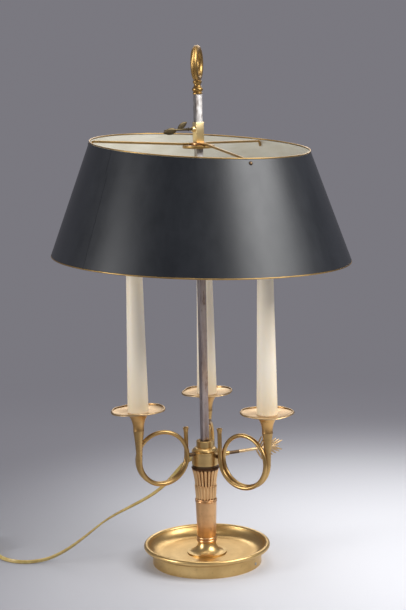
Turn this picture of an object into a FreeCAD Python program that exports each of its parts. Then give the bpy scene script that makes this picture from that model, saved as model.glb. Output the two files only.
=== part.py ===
import FreeCAD, Part
import math
import os
import Sketcher

# Driving sizes in millimetres, degrees or counts
SIZES = {
    # Base dish
    "foot_ring_radius": 70.2,
    "foot_ring_wall": 3.6,
    "foot_ring_height": 15.0,
    "rim_radius": 78.3,
    "rim_bead_radius": 3.2,
    "rim_bead_height": 22.6,
    "dish_floor_radius": 60.0,
    "dish_floor_height": 12.5,
    "dish_floor_thickness": 3.0,
    "dish_cove_radius": 17.0,
    "dish_cavetto_radius": 7.5,
    "felt_thickness": 2.0,
    "felt_gap": 0.4,
    "nut_flats": 17.0,
    "nut_height": 5.0,
    "washer_radius": 11.0,
    "washer_thickness": 1.5,
    "weight_bore_radius": 15.0,
    # Rod
    "rod_side": 8.4,
    "rod_turn": 27.0,
    "tail_radius": 4.0,
    "tail_clearance": 0.15,
    "rod_top": 600.0,
    "rod_stud_radius": 2.5,
    "rod_stud_length": 8.0,
    # Column
    "foot_flange_radius": 25.6,
    "foot_flange_height": 1.8,
    "foot_bell_height": 14.6,
    "foot_bell_curve": 14.6,
    "foot_skirt_radius": 21.5,
    "foot_neck_radius": 11.0,
    "shaft_foot_radius": 12.1,
    "shaft_top_radius": 13.6,
    "column_wall": 2.4,
    "lower_rings_height": 7.0,
    "lower_ring_swell": 1.6,
    "upper_ring_swell": 0.7,
    "shaft_height": 46.3,
    "upper_rings_height": 4.2,
    "capital_height": 42.2,
    "capital_neck_radius": 12.6,
    "capital_top_radius": 15.6,
    "capital_lip_height": 3.2,
    "capital_flare_radius": 126.0,
    "leaf_count": 20,
    "leaf_foot_radius": 1.5,
    "leaf_top_radius": 2.4,
    "leaf_height": 36.0,
    # Hub
    "hub_floor_radius": 16.2,
    "hub_floor_thickness": 3.2,
    "collar_radius": 17.0,
    "collar_wall": 3.6,
    "collar_height": 18.4,
    "collar_groove_depth": 0.8,
    "cap_shoulder_radius": 16.2,
    "cap_shoulder_height": 4.0,
    "cap_dome_radius": 7.0,
    "cap_neck_radius": 10.9,
    "cap_neck_height": 8.6,
    "cap_lip_bevel": 0.6,
    "rod_hole_gap": 0.2,
    # Horn arms
    "arm_count": 3,
    "arm_turn": 205.5,
    "arm_rise_left": 4.3,
    "arm_rise_right": -0.5,
    "arm_rise_back": -3.8,
    "bell_reach": 92.8,
    "loop_radius": 33.2,
    "loop_height": 141.3,
    "strand_offset": 3.1,
    "mouth_reach": 25.0,
    "horn_radius": 2.7,
    "horn_bore_radius": 1.9,
    "horn_swell_radius": 3.7,
    "mouth_height_left": 34.9,
    "mouth_height_right": 39.0,
    "mouth_height_back": 36.0,
    "mouth_cup_height": 6.0,
    "mouth_cup_radius": 3.8,
    "flare_height": 40.5,
    "flare_radius": 6.9,
    "flare_curve": 320.0,
    "bell_height": 23.0,
    "bell_top_radius": 15.0,
    "bell_curve": 29.0,
    "bell_bore_radius": 5.0,
    "lug_radius": 2.5,
    "lug_bore_radius": 1.4,
    "lug_start": 14.0,
    "lug_gap": 0.1,
    # Drip pans, candle sleeves and lampholders
    "pan_radius": 34.2,
    "pan_thickness": 1.2,
    "pan_dish": 2.2,
    "pan_flat_radius": 15.0,
    "pan_rim_radius": 0.9,
    "pan_curve": 90.0,
    "candle_height": 198.0,
    "candle_foot_radius": 13.2,
    "candle_top_radius": 9.6,
    "candle_wall": 1.0,
    "riser_radius": 4.9,
    "riser_bore_radius": 3.4,
    "riser_foot": 8.0,
    "holder_radius": 8.3,
    "holder_height": 30.0,
    "holder_wall": 1.3,
    "holder_floor": 5.0,
    "bulb_cap_radius": 6.8,
    "bulb_neck_radius": 7.2,
    "bulb_radius": 15.5,
    "bulb_belly_height": 30.0,
    "bulb_height": 84.0,
    "bulb_tip_radius": 1.6,
    "bulb_shoulder_curve": 38.0,
    "bulb_flame_curve": 70.0,
    "wire_radius": 0.8,
    "wire_bend": 0.9,
    # Arrow screw of the hub
    "arrow_height": 139.5,
    "arrow_turn": 27.0,
    "boss_radius": 3.1,
    "boss_start": 14.0,
    "boss_end": 34.0,
    "screw_radius": 2.3,
    "screw_start": 4.5,
    "screw_end": 49.0,
    "screw_clearance": 0.05,
    "arrow_stem_radius": 2.1,
    "arrow_stem_end": 74.0,
    "feather_end": 106.0,
    "feather_spread": 11.0,
    "feather_thickness": 2.0,
    "feather_barbs": 5,
    "barb_width": 4.6,
    "barb_sweep": 9.0,
    # Shade
    "shade_top_radius": 137.0,
    "shade_bottom_radius": 187.4,
    "shade_top_height": 537.2,
    "shade_bottom_height": 397.8,
    "shade_top_shift": 1.8,
    "shade_bottom_shift": 0.7,
    "shade_top_fall": 3.66,
    "shade_top_nod": 2.6,
    "shade_bottom_fall": 2.21,
    "shade_bottom_nod": 0.3,
    "shade_wall": 0.8,
    "bead_radius": 0.9,
    "bead_gap": 0.05,
    # Slide of the shade
    "slide_clearance": 0.08,
    "sleeve_side": 10.6,
    "sleeve_foot": 541.0,
    "sleeve_height": 25.0,
    "sleeve_ring_radius": 9.3,
    "sleeve_ring_height": 3.5,
    "hub_plate_radius": 20.0,
    "hub_plate_height": 3.6,
    "spider_wire_radius": 1.5,
    "spider_turn": 55.0,
    "spider_flat": 22.0,
    "spider_bend": 4.0,
    "spider_drop": 9.0,
    "rim_clearance": 2.6,
    "rivet_radius": 1.0,
    "rivet_head_radius": 2.4,
    "rivet_head_height": 1.3,
    "rivet_drop": 5.5,
    # Shade key
    "key_height": 557.5,
    "key_turn": 207.0,
    "key_radius": 1.6,
    "key_boss_radius": 3.2,
    "key_boss_length": 3.5,
    "key_length": 42.0,
    "key_leaf_length": 20.0,
    "key_leaf_width": 14.0,
    "key_leaf_thickness": 2.4,
    # Finial
    "knob_radius": 6.4,
    "knob_foot_radius": 4.8,
    "knob_waist_radius": 3.4,
    "knob_height": 14.6,
    "ring_outer_radius": 22.7,
    "ring_wire_radius": 4.25,
    "ring_turn": 82.0,
    # Cord, switch and plug
    "cord_radius": 2.5,
    "gland_radius": 3.0,
    "gland_mouth_radius": 2.9,
    "gland_start": 14.0,
    "gland_reach": 28.5,
    "gland_height": 145.2,
    "gland_fall": 28.0,
    "lead_start": 21.0,
    "lead_bend": 36.0,
    "gland_turn": 146.0,
    "coil_radius": 36.5,
    "coil_pitch": 5.6,
    "coil_turns": 4,
    "link_level": 11.0,
    "link_landing": 21.0,
    "link_reach": 31.0,
    "switch_length": 58.0,
    "switch_width": 26.0,
    "switch_base_height": 5.5,
    "switch_cover_height": 9.5,
    "switch_wall": 2.2,
    "switch_corner": 5.0,
    "rocker_length": 22.0,
    "rocker_width": 10.0,
    "rocker_gap": 0.35,
    "rocker_rise": 2.0,
    "rocker_tilt": 6.0,
    "rocker_pivot_radius": 1.5,
    "rocker_pivot_clearance": 0.05,
    "plug_length": 38.0,
    "plug_width": 35.0,
    "plug_height": 14.4,
    "plug_corner": 6.0,
    "plug_neck_radius": 5.6,
    "plug_neck_length": 36.0,
    "pin_radius": 2.0,
    "pin_length": 19.0,
    "pin_root": 8.0,
    "pin_root_radius": 1.5,
    "pin_spacing": 18.6,
}

FULL_TURN = 360.0
UP = FreeCAD.Vector(0, 0, 1)
SPIDER_WIRES = 3

# Shares of the knob's height: where it is narrow, full and waisted, and how far it bulges
KNOB_LOW = 0.25
KNOB_BELLY = 0.5
KNOB_WAIST = 0.78
KNOB_FOOT_BULGE = 0.15
KNOB_BULGE = 0.4
# Share of the key's leaf that lies over its shank
LEAF_OVER_SHANK = 0.6
# Cord diameters along the coil from which a point belongs to another turn
NEXT_TURN = 6

document = FreeCAD.newDocument("BouillotteLamp")
sheet = document.addObject("Spreadsheet::Sheet", "Sizes")
for row, (alias, number) in enumerate(SIZES.items(), start=1):
    sheet.set("A%d" % row, alias)
    sheet.set("B%d" % row, str(number))
    sheet.setAlias("B%d" % row, alias)
document.recompute()

sub_parts = {}


class Size:
    """A length that carries its value and the sheet formula that gives it."""

    def __init__(self, value, formula):
        self.value = value
        self.formula = formula

    def joined(self, sign, other, value):
        return Size(value, "(%s %s %s)" % (self.formula, sign, formula_of(other)))

    def __add__(self, other):
        return self.joined("+", other, self.value + value_of(other))

    def __sub__(self, other):
        return self.joined("-", other, self.value - value_of(other))

    def __mul__(self, other):
        return self.joined("*", other, self.value * value_of(other))

    def __truediv__(self, other):
        return self.joined("/", other, self.value / value_of(other))


def value_of(length):
    return length.value if isinstance(length, Size) else float(length)


def formula_of(length):
    return length.formula if isinstance(length, Size) else repr(float(length))


def size(alias):
    return Size(float(sheet.get(alias)), "%s.%s" % (sheet.Name, alias))


def mm(alias):
    return float(sheet.get(alias))


def bind(thing, **lengths):
    """Tie properties of an object to the sheet."""
    for name, length in lengths.items():
        thing.setExpression(name, formula_of(length))


def keep(name, thing):
    thing.Label = name
    sub_parts[name] = thing
    return thing


def vector(x, y, z):
    return FreeCAD.Vector(value_of(x), value_of(y), value_of(z))


def turned_by(axis, degrees):
    return FreeCAD.Rotation(axis, degrees)


def about_axis(degrees):
    """Placement turned about the lamp's axis."""
    return FreeCAD.Placement(FreeCAD.Vector(), turned_by(UP, degrees))


def outward(azimuth, height, fall=0.0):
    """Placement whose Z axis points outward from the lamp's axis, at a height."""
    tip_over = turned_by(FreeCAD.Vector(0, 1, 0), 90.0 + fall)
    return about_axis(azimuth).multiply(
        FreeCAD.Placement(FreeCAD.Vector(0, 0, height), tip_over))


def origin_plane(body, role):
    for feature in body.Origin.OriginFeatures:
        if feature.Role == role:
            return feature
    raise ValueError(role)


def arc_between(start, end, radius, bend):
    """Circle centre and angles of the short arc from start to end, counter-clockwise."""
    chord = end - start
    middle = (start + end) * 0.5
    rise = math.sqrt(radius * radius - chord.Length * chord.Length / 4.0)
    normal = FreeCAD.Vector(-chord.y, chord.x, 0).normalize()
    centre = middle + normal * (rise * bend)
    first, last = (start, end) if bend > 0 else (end, start)
    first_angle = math.atan2(first.y - centre.y, first.x - centre.x)
    last_angle = math.atan2(last.y - centre.y, last.x - centre.x)
    circle = Part.Circle(centre, UP, radius)
    return Part.ArcOfCircle(circle, first_angle, last_angle)


def pin_point(sketch, edge, end, across, up, label):
    """Hold one end of an edge at its distances from the sketch's origin."""
    for kind, length, axis_line in (("DistanceX", across, -2), ("DistanceY", up, -1)):
        if not isinstance(length, Size) and length == 0:
            sketch.addConstraint(Sketcher.Constraint("PointOnObject", edge, end, axis_line))
            continue
        index = sketch.addConstraint(
            Sketcher.Constraint(kind, -1, 1, edge, end, value_of(length))
        )
        sketch.renameConstraint(index, "%s_%s" % (label, kind[-1]))
        sketch.setExpression("Constraints.%s_%s" % (label, kind[-1]), formula_of(length))


def draw(sketch, outline):
    """Closed outline of (across, up) corners; (across, up, radius, bend) ends an arc."""
    count = len(outline)
    ends = []
    for step in range(count):
        start, end = outline[step], outline[(step + 1) % count]
        first = vector(start[0], start[1], 0)
        last = vector(end[0], end[1], 0)
        if len(end) == 4:
            sketch.addGeometry(arc_between(first, last, value_of(end[2]), end[3]), False)
            index = sketch.addConstraint(
                Sketcher.Constraint("Radius", step, value_of(end[2]))
            )
            sketch.renameConstraint(index, "bow_%d" % step)
            sketch.setExpression("Constraints.bow_%d" % step, formula_of(end[2]))
            ends.append((1, 2) if end[3] > 0 else (2, 1))
        else:
            sketch.addGeometry(Part.LineSegment(first, last), False)
            ends.append((1, 2))
    for step in range(count):
        after = (step + 1) % count
        sketch.addConstraint(
            Sketcher.Constraint("Coincident", step, ends[step][1], after, ends[after][0])
        )
        pin_point(sketch, step, ends[step][0], outline[step][0], outline[step][1],
                  "corner_%d" % step)


def turned(name, outline, placement=None, kept=True):
    """Body turned about its own Z axis from an outline of (radius, height) corners."""
    body = document.addObject("PartDesign::Body", name)
    sketch = body.newObject("Sketcher::SketchObject", name + "_outline")
    sketch.AttachmentSupport = (origin_plane(body, "XZ_Plane"), [""])
    sketch.MapMode = "FlatFace"
    draw(sketch, outline)
    turning = body.newObject("PartDesign::Revolution", name + "_turning")
    turning.Profile = sketch
    turning.ReferenceAxis = (sketch, ["V_Axis"])
    turning.Angle = FULL_TURN
    if placement is not None:
        body.Placement = placement
    if kept:
        keep(name, body)
    return body


def drilled(body, name, radius, length, placement):
    """Round hole through a turned body."""
    hole = body.newObject("PartDesign::SubtractiveCylinder", name)
    bind(hole, Radius=radius, Height=length)
    hole.Placement = placement
    return hole


def cylinder(name, radius, height, placement):
    thing = document.addObject("Part::Cylinder", name)
    bind(thing, Radius=radius, Height=height)
    thing.Placement = placement
    return thing


def box(name, length, width, height, placement):
    """Block centred on its own X and Y axes."""
    thing = document.addObject("Part::Box", name)
    bind(thing, Length=length, Width=width, Height=height)
    centred = FreeCAD.Vector(-value_of(length) / 2, -value_of(width) / 2, 0)
    thing.Placement = placement.multiply(FreeCAD.Placement(centred, FreeCAD.Rotation()))
    return thing


def torus(name, ring_radius, wire_radius, placement):
    thing = document.addObject("Part::Torus", name)
    bind(thing, Radius1=ring_radius, Radius2=wire_radius)
    thing.Placement = placement
    return thing


def cut(name, base, tool):
    thing = document.addObject("Part::Cut", name)
    thing.Base = base
    thing.Tool = tool
    return thing


def fused(name, pieces):
    thing = document.addObject("Part::MultiFuse", name)
    thing.Shapes = pieces
    return thing


def shaped(name, shape, placement=None):
    """Sub-part whose shape is worked out from the sheet's values."""
    thing = document.addObject("Part::Feature", name)
    thing.Shape = shape
    if placement is not None:
        thing.Placement = placement
    return thing


def at_height(height):
    return FreeCAD.Placement(vector(0, 0, height), FreeCAD.Rotation())


# Paths of tubes, wires and the cord

def half_turn(start, heading, end):
    """Two quarter arcs from start, leaving along heading, to end, coming back."""
    reach = (end - start).Length / 2.0
    ahead = heading * reach
    crown = (start + end) * 0.5 + ahead
    slant = (1.0 - math.sqrt(0.5)) * reach
    across = (end - start).normalize()
    first_middle = start + ahead * math.sqrt(0.5) + across * slant
    last_middle = end + ahead * math.sqrt(0.5) - across * slant
    return [
        Part.Arc(start, first_middle, crown).toShape(),
        Part.Arc(crown, last_middle, end).toShape(),
    ]


def rounded_edges(points, radii):
    """Straight runs between points, with a tangent arc of each radius at each corner."""
    edges = []
    leave = points[0]
    for before, corner, after, radius in zip(points, points[1:], points[2:], radii):
        inward = (before - corner).normalize()
        onward = (after - corner).normalize()
        half_angle = inward.getAngle(onward) / 2.0
        setback = radius / math.tan(half_angle)
        arc_start = corner + inward * setback
        arc_end = corner + onward * setback
        bisector = (inward + onward).normalize()
        centre = corner + bisector * (radius / math.sin(half_angle))
        middle = centre - bisector * radius
        edges.append(Part.LineSegment(leave, arc_start).toShape())
        edges.append(Part.Arc(arc_start, middle, arc_end).toShape())
        leave = arc_end
    edges.append(Part.LineSegment(leave, points[-1]).toShape())
    return edges


def tube_along(edges, radius):
    """Round tube along edges that join end to end."""
    path = Part.Wire(edges)
    start = edges[0].valueAt(edges[0].FirstParameter)
    heading = edges[0].tangentAt(edges[0].FirstParameter)
    section = Part.Wire(Part.Circle(start, heading, radius).toShape())
    return path.makePipeShell([section], True, False)


def growing_tube(edges, first_radius, last_radius):
    """Round tube whose radius grows along edges that join end to end."""
    path = Part.Wire(edges)
    sections = []
    for edge, parameter, radius in (
        (edges[0], edges[0].FirstParameter, first_radius),
        (edges[-1], edges[-1].LastParameter, last_radius),
    ):
        circle = Part.Circle(edge.valueAt(parameter), edge.tangentAt(parameter), radius)
        sections.append(Part.Wire(circle.toShape()))
    return path.makePipeShell(sections, True, False)


# Base dish with its felt, weight, washer and nut

def make_base():
    bore = size("tail_radius") + size("tail_clearance")
    floor = size("dish_floor_height")
    under = floor - size("dish_floor_thickness")
    foot = size("foot_ring_radius")
    inside = foot - size("foot_ring_wall")
    rim = size("rim_radius")
    bead = size("rim_bead_radius")
    level = size("rim_bead_height")
    turned("base_dish", [
        (bore, under),
        (inside, under),
        (inside, 0),
        (foot, 0),
        (foot, size("foot_ring_height")),
        (rim, level - bead, size("dish_cavetto_radius"), -1),
        (rim + bead, level, bead, 1),
        (rim, level + bead, bead, 1),
        (rim - bead, level, bead, 1),
        (size("dish_floor_radius"), floor, size("dish_cove_radius"), -1),
        (bore, floor),
    ])

    felt_radius = inside - size("felt_gap")
    felt = cylinder("base_felt", felt_radius, size("felt_thickness"), at_height(0))
    keep("base_felt", felt)

    seat = under - size("felt_thickness")
    weight_blank = cylinder("weight_blank", felt_radius, seat,
                            at_height(size("felt_thickness")))
    weight_bore = cylinder("weight_bore", size("weight_bore_radius"), seat,
                           at_height(size("felt_thickness")))
    keep("base_weight", cut("base_weight", weight_blank, weight_bore))

    washer_floor = under - size("washer_thickness")
    washer_blank = cylinder("washer_blank", size("washer_radius"), size("washer_thickness"),
                            at_height(washer_floor))
    washer_bore = cylinder("washer_bore", bore, size("washer_thickness"),
                           at_height(washer_floor))
    keep("base_washer", cut("base_washer", washer_blank, washer_bore))

    nut_floor = washer_floor - size("nut_height")
    nut_blank = document.addObject("Part::Prism", "nut_blank")
    nut_blank.Polygon = 6
    bind(nut_blank, Circumradius=size("nut_flats") / math.sqrt(3.0), Height=size("nut_height"))
    nut_blank.Placement = at_height(nut_floor)
    nut_bore = cylinder("nut_bore", size("tail_radius") + size("screw_clearance"),
                        size("nut_height"), at_height(nut_floor))
    keep("base_nut", cut("base_nut", nut_blank, nut_bore))
    return nut_floor


# Column turned in five pieces, threaded on the rod

def make_column():
    bore = size("tail_radius") + size("tail_clearance")
    narrow = size("shaft_foot_radius")
    wide = size("shaft_top_radius")
    wall = size("column_wall")
    floor = size("dish_floor_height")
    flange_top = floor + size("foot_flange_height")
    foot_top = floor + size("foot_bell_height")
    turned("column_foot", [
        (bore, floor),
        (size("foot_flange_radius"), floor),
        (size("foot_flange_radius"), flange_top),
        (size("foot_skirt_radius"), flange_top),
        (size("foot_neck_radius"), foot_top, size("foot_bell_curve"), -1),
        (bore, foot_top),
    ])

    rings_top = foot_top + size("lower_rings_height")
    rings_middle = foot_top + size("lower_rings_height") / 2
    swell = size("lower_rings_height") / 4 + size("lower_ring_swell") / 4
    turned("lower_rings", [
        (narrow - wall, foot_top),
        (narrow, foot_top),
        (narrow, rings_middle, swell, 1),
        (narrow, rings_top, swell, 1),
        (narrow - wall, rings_top),
    ])

    shaft_top = rings_top + size("shaft_height")
    turned("column_shaft", [
        (narrow - wall, rings_top),
        (narrow, rings_top),
        (wide, shaft_top),
        (wide - wall, shaft_top),
    ])

    upper_top = shaft_top + size("upper_rings_height")
    upper_middle = shaft_top + size("upper_rings_height") / 2
    bulge = size("upper_rings_height") / 4 + size("upper_ring_swell") / 4
    turned("upper_rings", [
        (wide - wall, shaft_top),
        (wide, shaft_top),
        (wide, upper_middle, bulge, 1),
        (wide, upper_top, bulge, 1),
        (wide - wall, upper_top),
    ])

    capital_top = upper_top + size("capital_height")
    lip = capital_top - size("capital_lip_height")
    neck = size("capital_neck_radius")
    crown = size("capital_top_radius")
    capital = turned("column_capital", [
        (neck - size("column_wall"), upper_top),
        (neck, upper_top),
        (crown, lip, size("capital_flare_radius"), -1),
        (crown + size("leaf_top_radius"), lip),
        (crown + size("leaf_top_radius"), capital_top),
        (neck - size("column_wall"), capital_top),
    ])
    leaf = capital.newObject("PartDesign::AdditiveCone", "capital_leaf")
    bind(leaf, Radius1=size("leaf_foot_radius"), Radius2=size("leaf_top_radius"),
         Height=size("leaf_height"))
    lean = math.degrees(math.atan2(crown.value - neck.value, lip.value - upper_top.value))
    rise = (lip - upper_top).value - mm("leaf_height") * math.cos(math.radians(lean))
    foot = FreeCAD.Vector(neck.value + rise * math.tan(math.radians(lean)), 0,
                          upper_top.value + rise)
    leaf.Placement = FreeCAD.Placement(foot, turned_by(FreeCAD.Vector(0, 1, 0), lean))
    document.recompute()
    leaves = capital.newObject("PartDesign::PolarPattern", "capital_leaves")
    leaves.Originals = [leaf]
    leaves.Axis = (origin_plane(capital, "Z_Axis"), [""])
    leaves.Angle = FULL_TURN
    bind(leaves, Occurrences=size("leaf_count"))
    capital.Tip = leaves

    hub_floor_top = capital_top + size("hub_floor_thickness")
    turned("hub_floor", [
        (bore, capital_top),
        (size("hub_floor_radius"), capital_top),
        (size("hub_floor_radius"), hub_floor_top),
        (bore, hub_floor_top),
    ])
    return hub_floor_top


# Square rod that carries everything, with a threaded tail and a stud on top

def make_rod(nut_floor, hub_floor_top):
    turn = about_axis(mm("rod_turn"))
    side = size("rod_side")
    bar_foot = hub_floor_top
    bar = box("rod_bar", side, side, size("rod_top") - bar_foot,
              turn.multiply(at_height(bar_foot)))
    tail = cylinder("rod_tail", size("tail_radius"), bar_foot - nut_floor,
                    at_height(nut_floor))
    stud = cylinder("rod_stud", size("rod_stud_radius"), size("rod_stud_length"),
                    at_height(size("rod_top")))
    keep("square_rod", fused("square_rod", [bar, tail, stud]))


# Hub: collar bored for the arms, the arrow screw and the cord, under a domed cap

def arm_rises():
    return [mm("arm_rise_left"), mm("arm_rise_right"), mm("arm_rise_back")]


def arm_places():
    """Placement of each arm, turned about the axis and raised as it was mounted."""
    step = FULL_TURN / mm("arm_count")
    places = []
    for number, rise in enumerate(arm_rises()):
        place = about_axis(mm("arm_turn") + step * number)
        places.append(at_height(rise).multiply(place))
    return places


ARM_NAMES = ("left", "right", "back")


def make_hub(hub_floor_top):
    radius = size("collar_radius")
    inside = radius - size("collar_wall")
    top = hub_floor_top + size("collar_height")
    groove = size("collar_groove_depth")
    collar = turned("collar", [
        (inside, hub_floor_top),
        (radius, hub_floor_top),
        (radius, top - groove * 2),
        (radius - groove, top - groove),
        (radius, top),
        (inside, top),
    ])
    lug_hole = size("lug_radius") + size("lug_gap")
    for name, place in zip(ARM_NAMES, arm_places()):
        level = at_height(mm("loop_height"))
        aside = FreeCAD.Placement(FreeCAD.Vector(0, mm("strand_offset"), 0),
                                  turned_by(FreeCAD.Vector(0, 1, 0), 90.0))
        drilled(collar, "lug_hole_" + name, lug_hole, radius * 1.5,
                place.multiply(level).multiply(aside))
    drilled(collar, "arrow_hole", size("boss_radius") + size("screw_clearance"), radius * 1.5,
            outward(mm("arrow_turn"), mm("arrow_height")))
    drilled(collar, "cord_hole", size("gland_radius") + size("screw_clearance"), radius * 1.5,
            outward(mm("gland_turn"), mm("gland_height"), fall=mm("gland_fall")))

    bore = size("rod_side") * math.sqrt(0.5) + size("rod_hole_gap")
    neck = size("cap_neck_radius")
    shoulder_top = top + size("cap_shoulder_height")
    neck_top = shoulder_top + size("cap_neck_height")
    bevel = size("cap_lip_bevel")
    turned("collar_cap", [
        (bore, top),
        (size("cap_shoulder_radius"), top),
        (neck, shoulder_top, size("cap_dome_radius"), 1),
        (neck, neck_top - bevel),
        (neck - bevel, neck_top),
        (bore, neck_top),
    ])


# One hunting-horn arm: a tube wound one and a half turns, its bell and its lug

def horn_edges(mouth_height):
    """Centre line from the mouthpiece through the first three half turns."""
    level = mm("loop_height")
    offset = mm("strand_offset")
    outer = mm("bell_reach")
    inner = outer - 2 * mm("loop_radius")
    mouth_low = FreeCAD.Vector(mm("mouth_reach"), -offset, level)
    mouth_high = mouth_low + UP * mouth_height
    outer_first = FreeCAD.Vector(outer, -offset, level)
    inner_second = FreeCAD.Vector(inner, offset, level)
    outer_second = FreeCAD.Vector(outer, offset, level)
    first = [Part.LineSegment(mouth_high, mouth_low).toShape()]
    first += half_turn(mouth_low, UP * -1, outer_first)
    first += half_turn(outer_first, UP, inner_second)
    return first, half_turn(inner_second, UP * -1, outer_second)


def solid_of_turning(outline):
    """Solid turned about the Z axis from straight and bowed outline edges."""
    edges = []
    count = len(outline)
    for step in range(count):
        start, end = outline[step], outline[(step + 1) % count]
        first = FreeCAD.Vector(start[0], 0, start[1])
        last = FreeCAD.Vector(end[0], 0, end[1])
        if len(end) == 4:
            middle = (first + last) * 0.5
            chord = last - first
            side = FreeCAD.Vector(-chord.z, 0, chord.x).normalize()
            bow = end[2] - math.sqrt(end[2] ** 2 - chord.Length ** 2 / 4.0)
            edges.append(Part.Arc(first, middle - side * (bow * end[3]), last).toShape())
        else:
            edges.append(Part.LineSegment(first, last).toShape())
    face = Part.Face(Part.Wire(edges))
    return face.revolve(FreeCAD.Vector(), UP, FULL_TURN)


def horn_shape(mouth_height):
    first, second = horn_edges(mouth_height)
    radius = mm("horn_radius")
    bore = mm("horn_bore_radius")
    level = mm("loop_height")
    swell = mm("horn_swell_radius")
    grown_bore = swell - radius + bore
    flare_top = mm("flare_radius")
    wall = radius - bore
    height = mm("flare_height")
    outside = tube_along(first + second[:1], radius)
    outside_last = growing_tube(second[1:], radius, swell)
    inside = tube_along(first + second[:1], bore)
    inside_last = growing_tube(second[1:], bore, grown_bore)
    flare = solid_of_turning([
        (0.0, 0.0),
        (swell, 0.0),
        (flare_top, height, mm("flare_curve"), -1),
        (0.0, height),
    ])
    flare_bore = solid_of_turning([
        (0.0, 0.0),
        (grown_bore, 0.0),
        (flare_top - wall, height, mm("flare_curve"), -1),
        (0.0, height),
    ])
    axis = FreeCAD.Vector(mm("bell_reach"), mm("strand_offset"), level)
    flare.translate(axis)
    flare_bore.translate(axis)
    cup_foot = level + mouth_height - mm("mouth_cup_height")
    cup_place = FreeCAD.Vector(mm("mouth_reach"), -mm("strand_offset"), cup_foot)
    cup = Part.makeCone(radius, mm("mouth_cup_radius"), mm("mouth_cup_height"), cup_place)
    hollow = Part.makeCone(bore, mm("mouth_cup_radius") - wall, mm("mouth_cup_height"),
                           cup_place)
    entry = Part.makeCylinder(mm("lug_bore_radius"), radius,
                              FreeCAD.Vector(mm("bell_reach") - 2 * mm("loop_radius"),
                                             mm("strand_offset"), level),
                              FreeCAD.Vector(-1, 0, 0))
    body = outside.fuse([outside_last, flare, cup])
    return body.cut([inside, inside_last, flare_bore, hollow, entry])


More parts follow.
